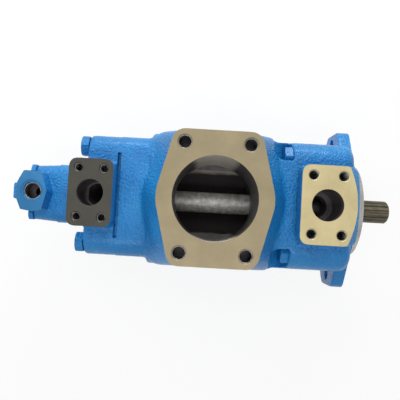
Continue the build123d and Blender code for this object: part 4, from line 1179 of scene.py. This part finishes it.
def shaft_painted_light():
    recipe = Recipe("shaft_steel", Metallic=0.35, Roughness=0.5)
    along = recipe.add("SeparateXYZ", {0: recipe.place}).outputs["X"]
    span = recipe.add("MapRange", {"Value": along, "From Min": SHAFT_DARK_TO, "From Max": SHAFT_PAINTED_LIGHT_FROM})
    streaks = recipe.noise(1.0, 3, 0.6, recipe.stretch(90, 1300, 1300))
    blotches = recipe.noise(160, 5, 0.65)
    # The pale middle of the shaft is painted light.
    lit_middle_painted = recipe.ramp(blotches, (0.35, (0.36, 0.35, 0.33)), (0.65, (0.74, 0.73, 0.70)))
    splined = recipe.ramp(streaks, (0.35, (0.045, 0.038, 0.024)), (0.65, (0.16, 0.135, 0.088)))
    recipe.join("Base Color", recipe.mix(span.outputs["Result"], splined, lit_middle_painted))
    return recipe.join("Normal", recipe.bump(blotches, 0.35, 0.4 * MM)).material


def steel(name, pale, deep, rough=0.28, metal=0.9, along=(90, 1300, 1300)):
    return milled(name, pale, deep, metal, rough, along)


def rubber():
    recipe = Recipe("seal_rubber", Roughness=0.55)
    tone = recipe.ramp(recipe.noise(300, 3), (0.3, (0.010, 0.010, 0.011)), (0.7, (0.024, 0.024, 0.025)))
    recipe.join("Base Color", tone)
    return recipe.join("Normal", recipe.bump(recipe.noise(1800, 2), 0.2, 0.05 * MM)).material


def bronze(name, pale, deep):
    return milled(name, pale, deep, 0.9, 0.34, (300, 900, 900))


print("finishes so far", len(bpy.data.materials))

# %% Finishes for the frame's own pieces
FINISH = {
    "shaft_steel": shaft_painted_light(),
    "seal_rubber": rubber(),
    "bush_bronze": bronze("bush_bronze", (0.62, 0.42, 0.20), (0.42, 0.27, 0.12)),
    "plate_iron": milled("plate_iron", (0.20, 0.20, 0.20), (0.12, 0.12, 0.12), 0.7, 0.4, (300, 900, 900)),
    "bearing_steel": steel("bearing_steel", (0.72, 0.72, 0.74), (0.58, 0.58, 0.60), 0.16),
    "hardened_steel": steel("hardened_steel", (0.42, 0.42, 0.43), (0.30, 0.30, 0.31)),
    "cage_brass": bronze("cage_brass", (0.70, 0.52, 0.24), (0.52, 0.37, 0.15)),
    "spring_steel": steel("spring_steel", (0.14, 0.14, 0.16), (0.08, 0.08, 0.09), 0.34),
    "painted_bolt": blue,
    "painted_casting": blue,
}
for subpart in frame["record"]["subparts"]:
    node = frame["nodes"][subpart["node"]]
    node.data.materials.clear()
    node.data.materials.append(FINISH[subpart["material_slot"]])
for piece in threads:
    piece.data.materials.clear()
    piece.data.materials.append(FINISH["hardened_steel"])

# %% [markdown]
# ## Floor, light and camera
#
# The pump lies on its back and is seen from above, in a plain bright studio.  The floor is mostly plain white
# to the camera, through Light Path, and the rest of it takes the pump's shadow.  To the light it is an
# ordinary pale floor.

# %% What only the camera sees


def seen_directly(nodes, links):
    """1 for what the camera sees, also in a mirror or through glass, and 0 for light that falls on things."""
    rays = nodes.new("ShaderNodeLightPath").outputs
    seen = rays["Is Camera Ray"]
    for kind in ("Is Glossy Ray", "Is Transmission Ray"):
        either = nodes.new("ShaderNodeMath")
        either.operation = "MAXIMUM"
        links.new(seen, either.inputs[0])
        links.new(rays[kind], either.inputs[1])
        seen = either.outputs[0]
    return seen


print("the camera's rays are told apart by", seen_directly.__name__)

# %% Floor
MIDDLE = (-0.19, 0, 0.0)
FLOOR_Z, FLOOR_SIZE = cad_box[0][2], 60
BACKDROP_SHARE = 0.86         # how much of the floor's look is plain white; the rest takes the shadow
FLOOR_DEEP, FLOOR_PALE = (0.86, 0.86, 0.86), (0.90, 0.90, 0.90)


def studio_floor():
    bpy.ops.mesh.primitive_plane_add(size=FLOOR_SIZE, location=(MIDDLE[0], 0, FLOOR_Z))
    floor = settle(bpy.context.object, "studio_floor")
    recipe = Recipe("pale_floor", Roughness=0.9)
    recipe.join("Base Color", recipe.ramp(recipe.noise(3), (0.0, FLOOR_DEEP), (1.0, FLOOR_PALE)))
    seen = seen_directly(recipe.nodes, recipe.links)
    share = recipe.add("Math", {0: seen, 1: BACKDROP_SHARE}, operation="MULTIPLY").outputs[0]
    white = recipe.add("Emission", {"Color": (1, 1, 1, 1), "Strength": 1.0}).outputs[0]
    both = recipe.add("MixShader", {0: share, 1: recipe.shader.outputs[0], 2: white}).outputs[0]
    recipe.links.new(both, recipe.nodes["Material Output"].inputs["Surface"])
    floor.data.materials.append(recipe.material)
    return floor


print(studio_floor().name, "at", round(FLOOR_Z, 4))

# %% [markdown]
# The world does the same: the camera and the glossy reflections see it white, and all other light from it is
# weaker, so that the lamps can shape the pump.

# %% World
WORLD_LIGHT = 0.38            # strength of the light from all round; the camera sees the world at 1


def studio_world():
    world = bpy.data.worlds.new("studio")
    bpy.context.scene.world = world
    world.use_nodes = True
    nodes, links = world.node_tree.nodes, world.node_tree.links
    background = nodes["Background"]
    background.inputs["Color"].default_value = (1, 1, 1, 1)
    strength = nodes.new("ShaderNodeMapRange")
    strength.inputs["To Min"].default_value = WORLD_LIGHT
    links.new(seen_directly(nodes, links), strength.inputs["Value"])
    links.new(strength.outputs["Result"], background.inputs["Strength"])
    return world


print("world", studio_world().name, "lights at", WORLD_LIGHT)

# %% [markdown]
# Four soft lamps give the castings their form.  The low key lamp stands beyond the pump's far ear and shines
# along its upper edges.  The one over the near side fills the faces that look up, and two weaker lamps keep
# the far top and the rear end from going flat.

# %% Lamps
LAMPS = {                     # place, size in metres and power in watts
    "key_softbox": ((-0.15, 1.20, 0.50), (0.8, 0.25), 12),
    "far_softbox": ((-0.25, 0.45, 1.45), (0.7, 0.5), 3),
    "near_softbox": ((-0.20, -0.50, 1.30), (0.8, 0.4), 5.5),
    "side_softbox": ((-1.2, 0.5, 0.5), (0.6, 0.5), 4),
}


def lamp(name, place, size, power):
    data = bpy.data.lights.new(name, "AREA")
    data.shape = "RECTANGLE"
    data.size, data.size_y = size
    data.energy = power
    lamp_object = bpy.data.objects.new(name, data)
    bpy.context.scene.collection.objects.link(lamp_object)
    lamp_object.location = place
    lamp_object.rotation_euler = (Vector(MIDDLE) - Vector(place)).to_track_quat("-Z", "Y").to_euler()
    return lamp_object


for name, (place, size, power) in LAMPS.items():
    print(lamp(name, place, size, power).name, power, "W")

# %% [markdown]
# The camera is given by the directions of its right, up and back axes, with the lens in millimetres on a
# 36 mm wide film.

# %% Camera
LENS, FILM = 43.48, 36.0
CAMERA_PLACE = (-0.20084, -0.02802, 0.68511)
RIGHT = Vector((0.9984, 0.0564, 0.0050))
UP = Vector((-0.0565, 0.9974, 0.0452))


def studio_camera():
    data = bpy.data.cameras.new("studio_camera")
    data.lens, data.sensor_width = LENS, FILM
    camera = bpy.data.objects.new("studio_camera", data)
    bpy.context.scene.collection.objects.link(camera)
    right = RIGHT.normalized()
    back = right.cross(UP).normalized()
    up = back.cross(right)
    turned_to = Matrix((right, up, back)).transposed().to_4x4()
    camera.matrix_world = Matrix.Translation(CAMERA_PLACE) @ turned_to
    bpy.context.scene.camera = camera
    return camera


print(studio_camera().name, "with a lens of", LENS, "mm")
bpy.context.scene.view_settings.view_transform = "Standard"

# %% [markdown]
# ## Sizes, and the end
#
# The frame's box is printed.

# %% Print the frame's box and finish
print("cad box", cad_box)
